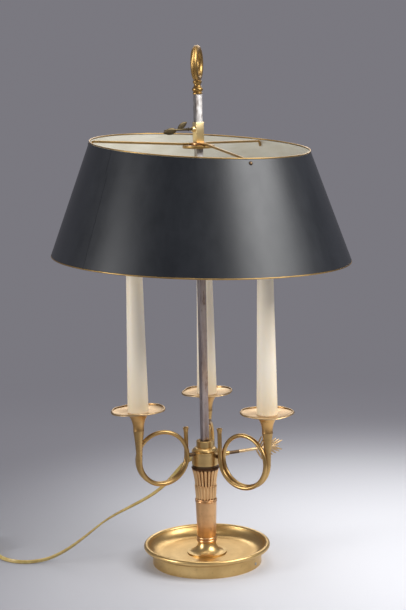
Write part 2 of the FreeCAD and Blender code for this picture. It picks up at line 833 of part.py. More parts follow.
def make_arms():
    level = mm("loop_height")
    axis = FreeCAD.Placement(FreeCAD.Vector(mm("bell_reach"), mm("strand_offset"), level),
                             FreeCAD.Rotation())
    flare_top = size("flare_height")
    bell_top = flare_top + size("bell_height")
    wall = size("horn_radius") - size("horn_bore_radius")
    pan_foot = bell_top
    pan_top = pan_foot + size("pan_thickness")
    rim = pan_foot + size("pan_dish")
    pan_edge = size("pan_radius") - size("pan_rim_radius")
    candle_top = pan_top + size("candle_height")
    holder_top = candle_top - size("rod_hole_gap")
    holder_foot = holder_top - size("holder_height")
    for name, place in zip(ARM_NAMES, arm_places()):
        on_axis = place.multiply(axis)
        keep("horn_tube_" + name, shaped("horn_tube_" + name,
                                         horn_shape(mm("mouth_height_" + name)), place))
        turned("horn_bell_" + name, [
            (size("flare_radius") - wall, flare_top),
            (size("flare_radius"), flare_top),
            (size("bell_top_radius"), bell_top, size("bell_curve"), -1),
            (size("bell_bore_radius"), bell_top),
            (size("bell_bore_radius"), flare_top + wall * 3),
        ], on_axis)
        turned("drip_pan_" + name, [
            (size("bell_bore_radius"), pan_foot),
            (size("pan_flat_radius"), pan_foot),
            (pan_edge, rim, size("pan_curve"), 1),
            (size("pan_radius"), rim + size("pan_rim_radius") / 2, size("pan_rim_radius"), 1),
            (pan_edge, rim + size("pan_thickness"), size("pan_rim_radius"), 1),
            (size("pan_flat_radius"), pan_top, size("pan_curve"), -1),
            (size("bell_bore_radius"), pan_top),
        ], on_axis)
        turned("candle_sleeve_" + name, [
            (size("candle_foot_radius") - size("candle_wall"), pan_top),
            (size("candle_foot_radius"), pan_top),
            (size("candle_top_radius"), candle_top),
            (size("candle_top_radius") - size("candle_wall"), candle_top),
        ], on_axis)
        turned("lampholder_" + name, [
            (size("riser_bore_radius"), holder_foot),
            (size("holder_radius"), holder_foot),
            (size("holder_radius"), holder_top),
            (size("holder_radius") - size("holder_wall"), holder_top),
            (size("holder_radius") - size("holder_wall"), holder_foot + size("holder_floor")),
            (size("riser_bore_radius"), holder_foot + size("holder_floor")),
        ], on_axis)
        belly = candle_top + size("bulb_belly_height")
        tip = candle_top + size("bulb_height")
        turned("bulb_glass_" + name, [
            (0, candle_top),
            (size("bulb_neck_radius"), candle_top),
            (size("bulb_radius"), belly, size("bulb_shoulder_curve"), 1),
            (size("bulb_tip_radius"), tip, size("bulb_flame_curve"), 1),
            (0, tip),
        ], on_axis)

    caps, risers, lugs, wires = [], [], [], []
    riser_foot = bell_top - size("riser_foot")
    riser_top = holder_foot
    cap_foot = holder_foot + size("holder_floor") + size("screw_clearance")
    cap_length = candle_top - size("screw_clearance") - cap_foot
    inner = mm("bell_reach") - 2 * mm("loop_radius")
    for name, place in zip(ARM_NAMES, arm_places()):
        on_axis = place.multiply(axis)
        caps.append(cylinder("bulb_cap_" + name, size("bulb_cap_radius"), cap_length,
                             on_axis.multiply(at_height(cap_foot))))
        outside = cylinder("riser_blank_" + name, size("riser_radius"), riser_top - riser_foot,
                           on_axis.multiply(at_height(riser_foot)))
        inside = cylinder("riser_bore_" + name, size("riser_bore_radius"),
                          riser_top - riser_foot, on_axis.multiply(at_height(riser_foot)))
        risers.append(cut("riser_" + name, outside, inside))
        aside = place.multiply(FreeCAD.Placement(
            FreeCAD.Vector(0, mm("strand_offset"), level),
            turned_by(FreeCAD.Vector(0, 1, 0), 90.0)))
        lug = cylinder("lug_blank_" + name, size("lug_radius"),
                       size("bell_reach") - size("loop_radius") * 2 - size("lug_start"),
                       aside.multiply(at_height(size("lug_start"))))
        lug_bore = cylinder("lug_bore_" + name, size("lug_bore_radius"), size("bell_reach"),
                            aside)
        strand = cylinder("lug_saddle_" + name, size("horn_radius") + size("lug_gap"),
                          size("lug_radius") * 3,
                          place.multiply(FreeCAD.Placement(
                              FreeCAD.Vector(inner, mm("strand_offset"),
                                             level - 1.5 * mm("lug_radius")),
                              FreeCAD.Rotation())))
        lugs.append(cut("lug_" + name, cut("lug_open_" + name, lug, lug_bore), strand))
        wires.append(shaped("wire_" + name, arm_wire(inner, riser_top.value), place))
    keep("bulb_caps", fused("bulb_caps", caps))
    keep("candle_risers", fused("candle_risers", risers))
    keep("arm_lugs", fused("arm_lugs", lugs))
    keep("arm_wires", fused("arm_wires", wires))


def arm_wire(inner, riser_top):
    """Lead from the hub through the lug, round the horn and up to the lampholder."""
    level = mm("loop_height")
    offset = mm("strand_offset")
    bend = mm("wire_bend")
    start = FreeCAD.Vector(mm("lug_start"), offset, level)
    corner = FreeCAD.Vector(inner, offset, level)
    below = corner - UP * bend
    lead_in = rounded_edges([start, corner, below - UP * bend], [bend])[:2]
    outer = FreeCAD.Vector(mm("bell_reach"), offset, level)
    outer_low = outer - UP * bend
    turn = half_turn(below, UP * -1, outer_low)
    end = FreeCAD.Vector(outer.x, offset, level + riser_top)
    rise = [Part.LineSegment(outer_low, end).toShape()]
    return tube_along(lead_in + turn + rise, mm("wire_radius"))


# Arrow screw: a boss on the collar, a steel screw and a feathered tail

def make_arrow():
    place = outward(mm("arrow_turn"), mm("arrow_height"))
    radius = size("screw_radius")
    stem = size("arrow_stem_radius")
    turned("arrow_boss", [
        (radius + size("screw_clearance"), size("boss_start")),
        (size("boss_radius"), size("boss_start")),
        (size("boss_radius"), size("boss_end")),
        (radius + size("screw_clearance"), size("boss_end")),
    ], place)
    turned("arrow_screw", [
        (0, size("screw_start")),
        (radius, size("screw_start")),
        (radius, size("screw_end")),
        (0, size("screw_end")),
    ], place)
    shaft = cylinder("arrow_stem", stem, size("arrow_stem_end") - size("screw_end"),
                     place.multiply(at_height(size("screw_end"))))
    feather = shaped("arrow_feather", feather_shape(), place)
    keep("arrow_tail", fused("arrow_tail", [shaft, feather]))


def feather_shape():
    """Flat tail with swept barbs on both sides, standing upright along Z."""
    start = mm("arrow_stem_end") - mm("feather_thickness")
    end = mm("feather_end")
    barbs = int(mm("feather_barbs"))
    pitch = (end - start - mm("barb_width")) / barbs
    spine = mm("arrow_stem_radius")
    corners = []
    for number in range(barbs):
        root = start + pitch * number
        spread = mm("feather_spread") * (1.0 - 0.08 * abs(number - 1))
        corners.append((spine, root))
        corners.append((spread, root + mm("barb_sweep")))
        corners.append((spine, root + mm("barb_width")))
    corners.append((spine, end))
    mirrored = [(-across, along) for across, along in reversed(corners)]
    half = mm("feather_thickness") / 2.0
    points = [FreeCAD.Vector(across, -half, along) for across, along in corners + mirrored]
    face = Part.Face(Part.makePolygon(points + points[:1]))
    return face.extrude(FreeCAD.Vector(0, 2 * half, 0))


# Shade, a tin cone with beaded rims, on a wire spider

def tilted(height, shift, fall, nod):
    """Placement of one rim of the shade, which hangs a little out of level."""
    level = turned_by(FreeCAD.Vector(0, 1, 0), mm(fall)).multiply(
        turned_by(FreeCAD.Vector(1, 0, 0), mm(nod)))
    return FreeCAD.Placement(FreeCAD.Vector(mm(shift), 0, mm(height)), level)


def rim_circle(name, radius, placement):
    circle = document.addObject("Part::Circle", name)
    bind(circle, Radius=radius)
    circle.Placement = placement
    return circle


def lofted(name, low, high):
    loft = document.addObject("Part::Loft", name)
    loft.Sections = [low, high]
    loft.Solid = True
    loft.Ruled = True
    return loft


def shade_slope():
    """Growth of the shade's radius for each millimetre down."""
    width = mm("shade_bottom_radius") - mm("shade_top_radius")
    height = mm("shade_top_height") - mm("shade_bottom_height")
    return width / (height - 2 * rim_inset().value)


def rim_inset():
    """Distance from a rim bead's centre to the edge of the sheet."""
    return size("bead_radius") + size("bead_gap")


def make_shade():
    top_place = tilted("shade_top_height", "shade_top_shift", "shade_top_fall",
                       "shade_top_nod")
    bottom_place = tilted("shade_bottom_height", "shade_bottom_shift", "shade_bottom_fall",
                          "shade_bottom_nod")
    inset = rim_inset()
    high = top_place.multiply(at_height(inset * -1))
    low = bottom_place.multiply(at_height(inset))
    top = size("shade_top_radius")
    bottom = size("shade_bottom_radius")
    half = size("shade_wall") / 2
    outside = lofted("shade_outside", rim_circle("low_outside", bottom + half, low),
                     rim_circle("high_outside", top + half, high))
    inside = lofted("shade_inside", rim_circle("low_inside", bottom - half, low),
                    rim_circle("high_inside", top - half, high))
    shell = cut("shade_blank", outside, inside)
    holes = []
    for number in range(SPIDER_WIRES):
        point, azimuth = rivet_point(number)
        lean = math.degrees(math.atan(shade_slope()))
        place = FreeCAD.Placement(point, FreeCAD.Rotation()).multiply(
            outward(azimuth, 0.0, fall=-lean))
        holes.append(cylinder("rivet_hole_%d" % number,
                              size("rivet_radius") + size("screw_clearance"),
                              size("rim_clearance") * 2,
                              place.multiply(at_height(size("rim_clearance") * -1))))
    keep("shade_shell", cut("shade_shell", shell, fused("rivet_holes", holes)))
    keep("shade_top_bead", torus("shade_top_bead", top, size("bead_radius"), top_place))
    keep("shade_bottom_bead",
         torus("shade_bottom_bead", bottom, size("bead_radius"), bottom_place))


def shade_wall_point(azimuth, drop):
    """Point of the shade's middle surface at an azimuth, a drop below the top rim."""
    place = tilted("shade_top_height", "shade_top_shift", "shade_top_fall", "shade_top_nod")
    angle = math.radians(azimuth)
    rim = place.multVec(FreeCAD.Vector(mm("shade_top_radius") * math.cos(angle),
                                       mm("shade_top_radius") * math.sin(angle), 0))
    out = FreeCAD.Vector(math.cos(angle), math.sin(angle), 0)
    spread = shade_slope() * (drop - rim_inset().value)
    return rim + out * spread - UP * drop, out


def spider_azimuth(number):
    return mm("spider_turn") + FULL_TURN / 3 * number


def rivet_point(number):
    azimuth = spider_azimuth(number)
    point, _ = shade_wall_point(azimuth, mm("rivet_drop"))
    return point, azimuth


SPIDER_NAMES = ("back", "left", "front")


def make_spider():
    plate_top = size("sleeve_foot") - size("sleeve_ring_height")
    plate_foot = plate_top - size("hub_plate_height")
    clear = size("rod_side") * math.sqrt(0.5) + size("rod_hole_gap")
    turned("spider_hub", [
        (clear, plate_foot),
        (size("hub_plate_radius"), plate_foot),
        (size("hub_plate_radius"), plate_top),
        (clear, plate_top),
    ])
    turned("sleeve_ring", [
        (clear, plate_top),
        (size("sleeve_ring_radius"), plate_top),
        (size("sleeve_ring_radius"), size("sleeve_foot")),
        (clear, size("sleeve_foot")),
    ])
    wire = mm("spider_wire_radius")
    slope = shade_slope()
    away = wire + mm("shade_wall") / 2 + mm("bead_gap") * 4
    start_height = plate_top.value + wire + mm("bead_gap")
    wires = []
    for number, name in enumerate(SPIDER_NAMES):
        high, out = shade_wall_point(spider_azimuth(number), mm("rim_clearance"))
        low, _ = shade_wall_point(spider_azimuth(number), mm("spider_drop"))
        shift = out * (-away * math.sqrt(1.0 + slope * slope))
        inner = out * (mm("sleeve_ring_radius") + mm("bead_gap")) + UP * start_height
        bend = out * mm("spider_flat") + UP * start_height
        points = [inner, bend, high + shift, low + shift]
        edges = rounded_edges(points, [mm("spider_flat"), mm("spider_bend")])
        wires.append(shaped("spider_wire_" + name, tube_along(edges, wire)))
    keep("spider_wires", fused("spider_wires", wires))

    rivets = []
    for number in range(SPIDER_WIRES):
        point, azimuth = rivet_point(number)
        lean = math.degrees(math.atan(slope))
        place = FreeCAD.Placement(point, FreeCAD.Rotation()).multiply(
            outward(azimuth, 0.0, fall=-lean))
        skin = size("shade_wall") / 2 + size("bead_gap") * 4
        rivets.append(turned("rivet_%d" % number, [
            (0, 0),
            (size("rivet_radius"), 0),
            (size("rivet_radius"), skin),
            (size("rivet_head_radius"), skin),
            (size("rivet_radius"), skin + size("rivet_head_height"),
             size("rivet_head_radius"), 1),
            (0, skin + size("rivet_head_height")),
        ], place, kept=False))
    keep("shade_rivets", fused("shade_rivets", rivets))


# Sleeve that slides on the square rod, with the key that clamps it

def make_sleeve():
    turn = about_axis(mm("rod_turn"))
    foot = size("sleeve_foot")
    bore = size("rod_side") + size("slide_clearance") * 2
    block = box("sleeve_block", size("sleeve_side"), size("sleeve_side"),
                size("sleeve_height"), turn.multiply(at_height(foot)))
    key_place = outward(mm("key_turn"), mm("key_height"))
    flank = size("sleeve_side") / 2
    boss = cylinder("sleeve_boss", size("key_boss_radius"), size("key_boss_length"),
                    key_place.multiply(at_height(flank)))
    channel = box("sleeve_channel", bore, bore, size("sleeve_height"),
                  turn.multiply(at_height(foot)))
    key_hole = cylinder("sleeve_key_hole", size("key_radius") + size("screw_clearance"),
                        size("sleeve_side") * 2, key_place)
    solid = fused("sleeve_solid", [block, boss])
    holes = fused("sleeve_holes", [channel, key_hole])
    keep("shade_sleeve", cut("shade_sleeve", solid, holes))

    tip = size("rod_side") / 2 + size("slide_clearance") * 3
    shank = cylinder("key_shank", size("key_radius"), size("key_length") - tip,
                     key_place.multiply(at_height(tip)))
    leaf = shaped("key_leaf", key_leaf_shape(), key_place)
    keep("shade_key", fused("shade_key", [shank, leaf]))


def key_leaf_shape():
    """Pointed leaf, broad in the middle, at the outer end of the key."""
    start = mm("key_length") - mm("key_leaf_length") * LEAF_OVER_SHANK
    end = start + mm("key_leaf_length")
    middle = (start + end) / 2
    half = mm("key_leaf_width") / 2
    depth = mm("key_leaf_thickness") / 2
    root = mm("key_radius")
    left = Part.Arc(FreeCAD.Vector(-root, -depth, start),
                    FreeCAD.Vector(-half, -depth, middle),
                    FreeCAD.Vector(0, -depth, end)).toShape()
    right = Part.Arc(FreeCAD.Vector(0, -depth, end),
                     FreeCAD.Vector(half, -depth, middle),
                     FreeCAD.Vector(root, -depth, start)).toShape()
    heel = Part.LineSegment(FreeCAD.Vector(root, -depth, start),
                            FreeCAD.Vector(-root, -depth, start)).toShape()
    face = Part.Face(Part.Wire([left, right, heel]))
    return face.extrude(FreeCAD.Vector(0, 2 * depth, 0))


# Finial: a knob screwed on the rod's stud and an upright carrying ring

def make_finial():
    foot = size("rod_top")
    stud = size("rod_stud_radius") + size("screw_clearance")
    pocket = foot + size("rod_stud_length") + size("rod_hole_gap")
    top = foot + size("knob_height")
    low = foot + size("knob_height") * KNOB_LOW
    belly = foot + size("knob_height") * KNOB_BELLY
    waist = foot + size("knob_height") * KNOB_WAIST
    knob = turned("knob_turning", [
        (stud, foot),
        (size("knob_foot_radius"), foot),
        (size("knob_foot_radius"), low, size("knob_height") * KNOB_FOOT_BULGE, 1),
        (size("knob_radius"), belly, size("knob_height") * KNOB_BULGE, 1),
        (size("knob_waist_radius"), waist, size("knob_height") * KNOB_BULGE, 1),
        (size("knob_foot_radius"), top + size("ring_wire_radius") / 2),
        (0, top + size("ring_wire_radius") / 2),
        (0, pocket),
        (stud, pocket),
    ], kept=False)
    centre = top + size("ring_outer_radius")
    ring_radius = size("ring_outer_radius") - size("ring_wire_radius")
    upright = FreeCAD.Placement(vector(0, 0, centre), FreeCAD.Rotation()).multiply(
        about_axis(mm("ring_turn"))).multiply(
        FreeCAD.Placement(FreeCAD.Vector(), turned_by(FreeCAD.Vector(1, 0, 0), 90.0)))
    saddle = torus("knob_saddle", ring_radius, size("ring_wire_radius") + size("bead_gap"),
                   upright)
    keep("finial_knob", cut("finial_knob", knob, saddle))
    keep("finial_ring", torus("finial_ring", ring_radius, size("ring_wire_radius"), upright))


# Cord: hand-chosen points of its free stretch, in millimetres

LEAD_ROUTE = [
    (-36.5, 16.2, 116.5),
    (-46.8, 14.8, 105.2),
    (-57.5, 13.8, 95.2),
    (-74.0, 13.2, 83.5),
    (-101.5, 12.6, 69.5),
    (-120.0, 12.0, 60.5),
    (-135.8, 11.4, 50.5),
    (-150.5, 10.4, 38.8),
    (-167.5, 9.2, 26.0),
    (-184.5, 7.6, 14.8),
    (-206.0, 5.2, 5.2),
    (-228.0, 2.6, 2.5),
    (-246.0, 4.2, 2.5),
    (-261.0, 12.6, 2.5),
    (-272.5, 25.0, 3.2),
    (-281.0, 38.8, 5.5),
    (-289.0, 51.8, 5.5),
]
SWITCH_HEADING = FreeCAD.Vector(-8.0, 13.0, 0.0).normalize()


def gland_place():
    return outward(mm("gland_turn"), mm("gland_height"), fall=mm("gland_fall"))


def corner_radii(points):
    """Largest arcs that the runs beside each corner allow."""
    radii = []
    for before, corner, after in zip(points, points[1:], points[2:]):
        shorter = min((corner - before).Length, (after - corner).Length)
        half_angle = (before - corner).getAngle(after - corner) / 2.0
        radii.append(0.45 * shorter * math.tan(half_angle))
    return radii


def report_tube(name, edges, shape, radius):
    length = sum(edge.Length for edge in edges)
    print(name, "length %.1f mm" % length,
          "volume ratio %.4f" % (shape.Volume / (math.pi * radius ** 2 * length)))


def make_cord():
    radius = mm("cord_radius")
    gland = gland_place()
    turned("cord_gland", [
        (size("cord_radius") + size("bead_gap"), size("gland_start")),
        (size("gland_radius"), size("gland_start")),
        (size("gland_radius"), size("collar_radius") + size("gland_radius")),
        (size("gland_mouth_radius"), size("gland_reach")),
        (size("cord_radius") + size("bead_gap"), size("gland_reach")),
    ], gland)

    start = gland.multVec(FreeCAD.Vector(0, 0, mm("lead_start")))
    bend = gland.multVec(FreeCAD.Vector(0, 0, mm("lead_bend")))
    route = [start, bend] + [FreeCAD.Vector(*point) for point in LEAD_ROUTE]
    radii = corner_radii(route)
    print("lead radii", ["%.0f" % value for value in radii])
    edges = rounded_edges(route, radii)
    lead = tube_along(edges, radius)
    report_tube("lead", edges, lead, radius)
    keep("cord_lead", shaped("cord_lead", lead))
    return route[-1]


def rounded_block(name, sides, corner, place):
    """Block centred on its place, standing on it, with its upright edges rounded."""
    block = box(name + "_block", *sides, place)
    document.recompute()
    rounded = document.addObject("Part::Fillet", name + "_rounded")
    rounded.Base = block
    rounded.Edges = [(number, value_of(corner), value_of(corner))
                     for number in upright_edges(block.Shape)]
    return rounded


def make_switch(entry):
    """In-line rocker switch; returns where the cord leaves it."""
    heading = SWITCH_HEADING
    turn = math.degrees(math.atan2(heading.y, heading.x))
    middle = entry + heading * (mm("switch_length") / 2 - mm("switch_wall") * 2)
    place = FreeCAD.Placement(FreeCAD.Vector(middle.x, middle.y, 0), turned_by(UP, turn))
    entry_height = size("switch_base_height")
    length, width = size("switch_length"), size("switch_width")
    wall = size("switch_wall")
    cover_top = entry_height + size("switch_cover_height")

    cord_slot = cylinder("switch_slot", size("cord_radius") + size("bead_gap"), length * 2,
                         place.multiply(FreeCAD.Placement(
                             vector(length * -1, 0, entry_height),
                             turned_by(FreeCAD.Vector(0, 1, 0), 90.0))))
    base = rounded_block("switch_base", (length, width, entry_height),
                         size("switch_corner"), place)
    base_hollow = box("switch_base_hollow", length - wall * 4, width - wall * 2,
                      entry_height, place.multiply(at_height(wall)))
    keep("switch_base", cut("switch_base", cut("switch_base_tray", base, base_hollow),
                            cord_slot))

    cover = rounded_block("switch_cover", (length, width, size("switch_cover_height")),
                          size("switch_corner"), place.multiply(at_height(entry_height)))
    cover_hollow = box("switch_cover_hollow", length - wall * 4, width - wall * 2,
                       size("switch_cover_height") - wall,
                       place.multiply(at_height(entry_height)))
    gap = size("rocker_gap")
    window = box("switch_window", size("rocker_length") + gap * 2,
                 size("rocker_width") + gap * 2, size("switch_cover_height") * 2,
                 place.multiply(at_height(entry_height)))
    pivot_height = cover_top - wall / 2
    pivot_hole = cylinder("switch_pivot_hole",
                          size("rocker_pivot_radius") + size("rocker_pivot_clearance"),
                          size("rocker_width") + wall * 2 + gap * 2,
                          place.multiply(FreeCAD.Placement(
                              vector(0, size("rocker_width") / 2 + wall + gap,
                                     pivot_height),
                              turned_by(FreeCAD.Vector(1, 0, 0), 90.0))))
    bearing = box("switch_bearing", size("rocker_pivot_radius") * 5,
                  size("rocker_width") + (wall + gap + size("rocker_pivot_radius")) * 2,
                  size("rocker_pivot_radius") * 3,
                  place.multiply(at_height(cover_top - size("rocker_pivot_radius") * 3)))
    shell = cut("switch_cover_shell", cover, cover_hollow)
    holes = fused("switch_openings", [window, pivot_hole, cord_slot])
    keep("switch_cover", cut("switch_cover", fused("switch_cover_solid", [shell, bearing]),
                             holes))

    pivot = place.multiply(at_height(pivot_height)).multiply(FreeCAD.Placement(
        FreeCAD.Vector(), turned_by(FreeCAD.Vector(0, 1, 0), mm("rocker_tilt"))))
    pad = box("rocker_pad", size("rocker_length"), size("rocker_width"),
              wall + size("rocker_rise"), pivot.multiply(at_height(wall / -2)))
    stubs = cylinder("rocker_stubs", size("rocker_pivot_radius"),
                     size("rocker_width") + wall * 2,
                     pivot.multiply(FreeCAD.Placement(
                         vector(0, size("rocker_width") / 2 + wall, 0),
                         turned_by(FreeCAD.Vector(1, 0, 0), 90.0))))
    keep("switch_rocker", fused("switch_rocker", [pad, stubs]))
    return entry + heading * (mm("switch_length") - mm("switch_wall") * 4)


def upright_edges(shape):
    """Numbers of a block's upright edges."""
    numbers = []
    for number, edge in enumerate(shape.Edges, start=1):
        if abs(edge.tangentAt(edge.FirstParameter).z) > 0.9:
            numbers.append(number)
    return numbers


def coil_edges(start, heading):
    """Centre line of the coil: spiral in on the floor, climb a layer, spiral out."""
    across = FreeCAD.Vector(-heading.y, heading.x, 0)
    pitch = mm("coil_pitch")
    halves = int(mm("coil_turns")) * 2
    spiral = [mm("coil_radius") - pitch / 2 * number for number in range(halves)]
    straight = heading * (2 * mm("cord_radius"))
    point = start + straight
    edges = [Part.LineSegment(start, point).toShape()]
    direction = heading
    side = across
    climb = spiral[-1] - pitch / 2
    for radius in spiral + [climb] + list(reversed(spiral)):
        end = point + side * (2 * radius)
        if radius == climb:
            end = end + UP * pitch
        edges += half_turn(point, direction, end)
        point = end
        direction = direction * -1
        side = side * -1
    last = point + direction * (2 * mm("cord_radius"))
    edges.append(Part.LineSegment(point, last).toShape())
    return edges, last, direction


def least_gap(edges, diameter):
    """Least gap of a wound tube to itself, from points along its centre line."""
    points, walked = [], []
    total = 0.0
    for edge in edges:
        count = max(2, int(edge.Length / 2.0))
        for number in range(count):
            points.append(edge.valueAt(edge.FirstParameter + (edge.LastParameter
                          - edge.FirstParameter) * number / count))
            walked.append(total + edge.Length * number / count)
        total += edge.Length
    least = total
    for first in range(len(points)):
        for second in range(first + 1, len(points)):
            if walked[second] - walked[first] > NEXT_TURN * diameter:
                least = min(least, (points[first] - points[second]).Length)
    return least - diameter


def make_coil_and_plug(switch_exit):
    radius = mm("cord_radius")
    heading = SWITCH_HEADING
    floor = radius
    link_points = [
        switch_exit,
        switch_exit + heading * mm("link_level"),
        switch_exit + heading * mm("link_landing") + FreeCAD.Vector(0, 0, floor - switch_exit.z),
        switch_exit + heading * mm("link_reach") + FreeCAD.Vector(0, 0, floor - switch_exit.z),
    ]
    link_edges = rounded_edges(link_points, corner_radii(link_points))
    link = tube_along(link_edges, radius)
    report_tube("link", link_edges, link, radius)
    keep("cord_link", shaped("cord_link", link))

    edges, last, direction = coil_edges(link_points[-1], heading)
    coil = tube_along(edges, radius)
    report_tube("coil", edges, coil, radius)
    print("coil least gap %.2f mm" % least_gap(edges, 2 * radius))
    keep("cord_coil", shaped("cord_coil", coil))

    turn = math.degrees(math.atan2(direction.y, direction.x))
    place = FreeCAD.Placement(FreeCAD.Vector(last.x, last.y, 0), turned_by(UP, turn))
    neck_length = size("plug_neck_length")
    body_middle = neck_length + size("plug_length") / 2
    rounded = rounded_block("plug", (size("plug_length"), size("plug_width"),
                                     size("plug_height")), size("plug_corner"),
                            place.multiply(FreeCAD.Placement(vector(body_middle, 0, 0),
                                                             FreeCAD.Rotation())))
    neck = document.addObject("Part::Cone", "plug_neck")
    bind(neck, Radius1=size("cord_radius") + size("bead_gap") * 2,
         Radius2=size("plug_neck_radius"), Height=neck_length)
    neck.Placement = place.multiply(FreeCAD.Placement(
        FreeCAD.Vector(0, 0, last.z), turned_by(FreeCAD.Vector(0, 1, 0), 90.0)))
    pin_tools, pins = [], []
    pin_height = mm("plug_height") / 2
    for number, side in enumerate((-0.5, 0.5)):
        root = place.multiply(FreeCAD.Placement(
            vector(neck_length + size("plug_length") - size("pin_root"),
                   size("pin_spacing") * side, pin_height),
            turned_by(FreeCAD.Vector(0, 1, 0), 90.0)))
        pins.append(cylinder("plug_pin_root_%d" % number, size("pin_root_radius"),
                             size("pin_root"), root))
        pins.append(cylinder("plug_pin_%d" % number, size("pin_radius"), size("pin_length"),
                             root.multiply(at_height(size("pin_root")))))
        pin_tools.append(cylinder("plug_socket_%d" % number, size("pin_root_radius"),
                                  size("pin_root") * 2, root))
    keep("plug_body", cut("plug_body", fused("plug_solid", [rounded, neck]),
                          fused("plug_sockets", pin_tools)))
    keep("plug_pins", fused("plug_pins", pins))


def check_and_write():
    """Stop on any failed object, then write each sub-part."""
    document.recompute()
    for thing in document.Objects:
        if "Invalid" in thing.State or "Error" in thing.State:
            raise RuntimeError("%s failed: %s" % (thing.Name, thing.State))
    for name, thing in sub_parts.items():
        if thing.Shape.isNull() or not thing.Shape.isValid():
            raise RuntimeError("%s has no valid shape" % name)
    os.makedirs("parts", exist_ok=True)
    for name, thing in sub_parts.items():
        thing.Shape.exportStep(os.path.join("parts", name + ".step"))
    print(len(sub_parts), "sub-parts written")


nut_floor = make_base()
hub_floor_top = make_column()
make_rod(nut_floor, hub_floor_top)
make_hub(hub_floor_top)
make_arms()
make_arrow()
make_shade()
make_spider()
make_sleeve()
make_finial()
make_coil_and_plug(make_switch(make_cord()))
check_and_write()
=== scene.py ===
import bpy
import math
from mathutils import Matrix, Vector


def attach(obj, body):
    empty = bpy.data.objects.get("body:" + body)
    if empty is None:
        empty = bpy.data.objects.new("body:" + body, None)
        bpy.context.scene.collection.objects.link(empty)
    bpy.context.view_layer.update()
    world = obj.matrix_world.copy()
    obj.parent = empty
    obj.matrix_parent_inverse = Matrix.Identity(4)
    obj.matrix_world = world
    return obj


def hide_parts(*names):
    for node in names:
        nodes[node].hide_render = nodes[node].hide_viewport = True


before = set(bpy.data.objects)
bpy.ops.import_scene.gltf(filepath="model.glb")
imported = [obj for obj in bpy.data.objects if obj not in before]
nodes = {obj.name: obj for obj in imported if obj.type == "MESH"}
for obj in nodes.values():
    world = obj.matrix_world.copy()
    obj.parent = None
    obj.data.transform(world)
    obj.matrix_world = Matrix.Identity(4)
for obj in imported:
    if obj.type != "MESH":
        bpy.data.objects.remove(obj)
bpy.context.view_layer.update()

UP = Vector((0, 0, 1))

# Each arm's azimuth in degrees and rise in metres, and where the bell's axis stands on it
ARMS = {"left": (205.5, 0.0043), "right": (325.5, -0.0005), "back": (85.5, -0.0038)}
BELL_REACH = 0.0928
STRAND_OFFSET = 0.0031


def rotation(degrees, axis):
    return Matrix.Rotation(math.radians(degrees), 4, axis)


# Camera at the photograph's viewing angle, with its angles in degrees

CAMERA_LENS = 90.06
CAMERA_PLACE = (0, -1.9, 0.6485)
CAMERA_TURN = -0.04
CAMERA_DIP = 9.33
CAMERA_ROLL = -1.2


def place_camera():
    data = bpy.data.cameras.new("camera")
    data.lens = CAMERA_LENS
    camera = bpy.data.objects.new("camera", data)
    bpy.context.scene.collection.objects.link(camera)
    camera.matrix_world = (Matrix.Translation(CAMERA_PLACE) @ rotation(CAMERA_TURN, "Z")
                           @ rotation(90 - CAMERA_DIP, "X") @ rotation(CAMERA_ROLL, "Z"))
    bpy.context.scene.camera = camera


place_camera()


# Working on one object at a time

def deselect():
    bpy.ops.object.select_all(action="DESELECT")


def only(piece):
    deselect()
    piece.select_set(True)
    bpy.context.view_layer.objects.active = piece


def apply_modifiers(piece):
    only(piece)
    for modifier in list(piece.modifiers):
        bpy.ops.object.modifier_apply(modifier=modifier.name)


def apply_place(piece):
    """Put the piece's place in its mesh."""
    only(piece)
    bpy.ops.object.transform_apply(location=True, rotation=True, scale=True)


def settle(piece, name, angle):
    """Name the piece, put its place in its mesh and smooth it below an angle."""
    piece.name = name
    piece.data.name = name
    apply_place(piece)
    bpy.ops.object.shade_smooth_by_angle(angle=math.radians(angle))


def coat(piece, *materials):
    piece.data.materials.clear()
    for material in materials:
        piece.data.materials.append(material)


def join(pieces):
    deselect()
    for piece in pieces:
        piece.select_set(True)
    bpy.context.view_layer.objects.active = pieces[0]
    bpy.ops.object.join()
    return pieces[0]


def open_mesh():
    """Enter edit mode with the whole mesh selected."""
    bpy.ops.object.mode_set(mode="EDIT")
    bpy.ops.mesh.select_all(action="SELECT")


def close_mesh():
    """Turn every face outward and leave edit mode."""
    bpy.ops.mesh.select_all(action="SELECT")
    bpy.ops.mesh.normals_make_consistent(inside=False)
    bpy.ops.object.mode_set(mode="OBJECT")


def add_circle(sides, radius):
    deselect()
    bpy.ops.mesh.primitive_circle_add(vertices=sides, radius=radius, location=(0, 0, 0))
    return bpy.context.object


def turned(profile, sides, closed=False, capped=False):
    """Skin through a profile of (radius, height), as on a lathe, about the Z axis.

    A closed profile ends where it starts; a capped one has its two open ends filled.
    """
    radius, height = profile[0]
    piece = add_circle(sides, radius)
    open_mesh()
    bpy.ops.transform.translate(value=(0, 0, height))
    for next_radius, next_height in profile[1:]:
        bpy.ops.mesh.extrude_region_move(
            TRANSFORM_OT_translate={"value": (0, 0, next_height - height)})
        grow = next_radius / radius
        bpy.ops.transform.resize(value=(grow, grow, 1), center_override=(0, 0, next_height))
        radius, height = next_radius, next_height
    bpy.ops.mesh.select_all(action="SELECT")
    if capped:
        bpy.ops.mesh.fill_holes(sides=0)
    if closed:
        bpy.ops.mesh.remove_doubles(threshold=1e-5)
    close_mesh()
    return piece


def bow(start, end, bulge, steps):
    """Points of a shallow arc between two profile points, without the first.

    It bulges by a share of the distance between them.
    """
    points = []
    across = (start[1] - end[1], end[0] - start[0])
    for step in range(1, steps + 1):
        share = step / steps
        push = 4 * bulge * share * (1 - share)
        points.append((start[0] + (end[0] - start[0]) * share + across[0] * push,
                       start[1] + (end[1] - start[1]) * share + across[1] * push))
    return points


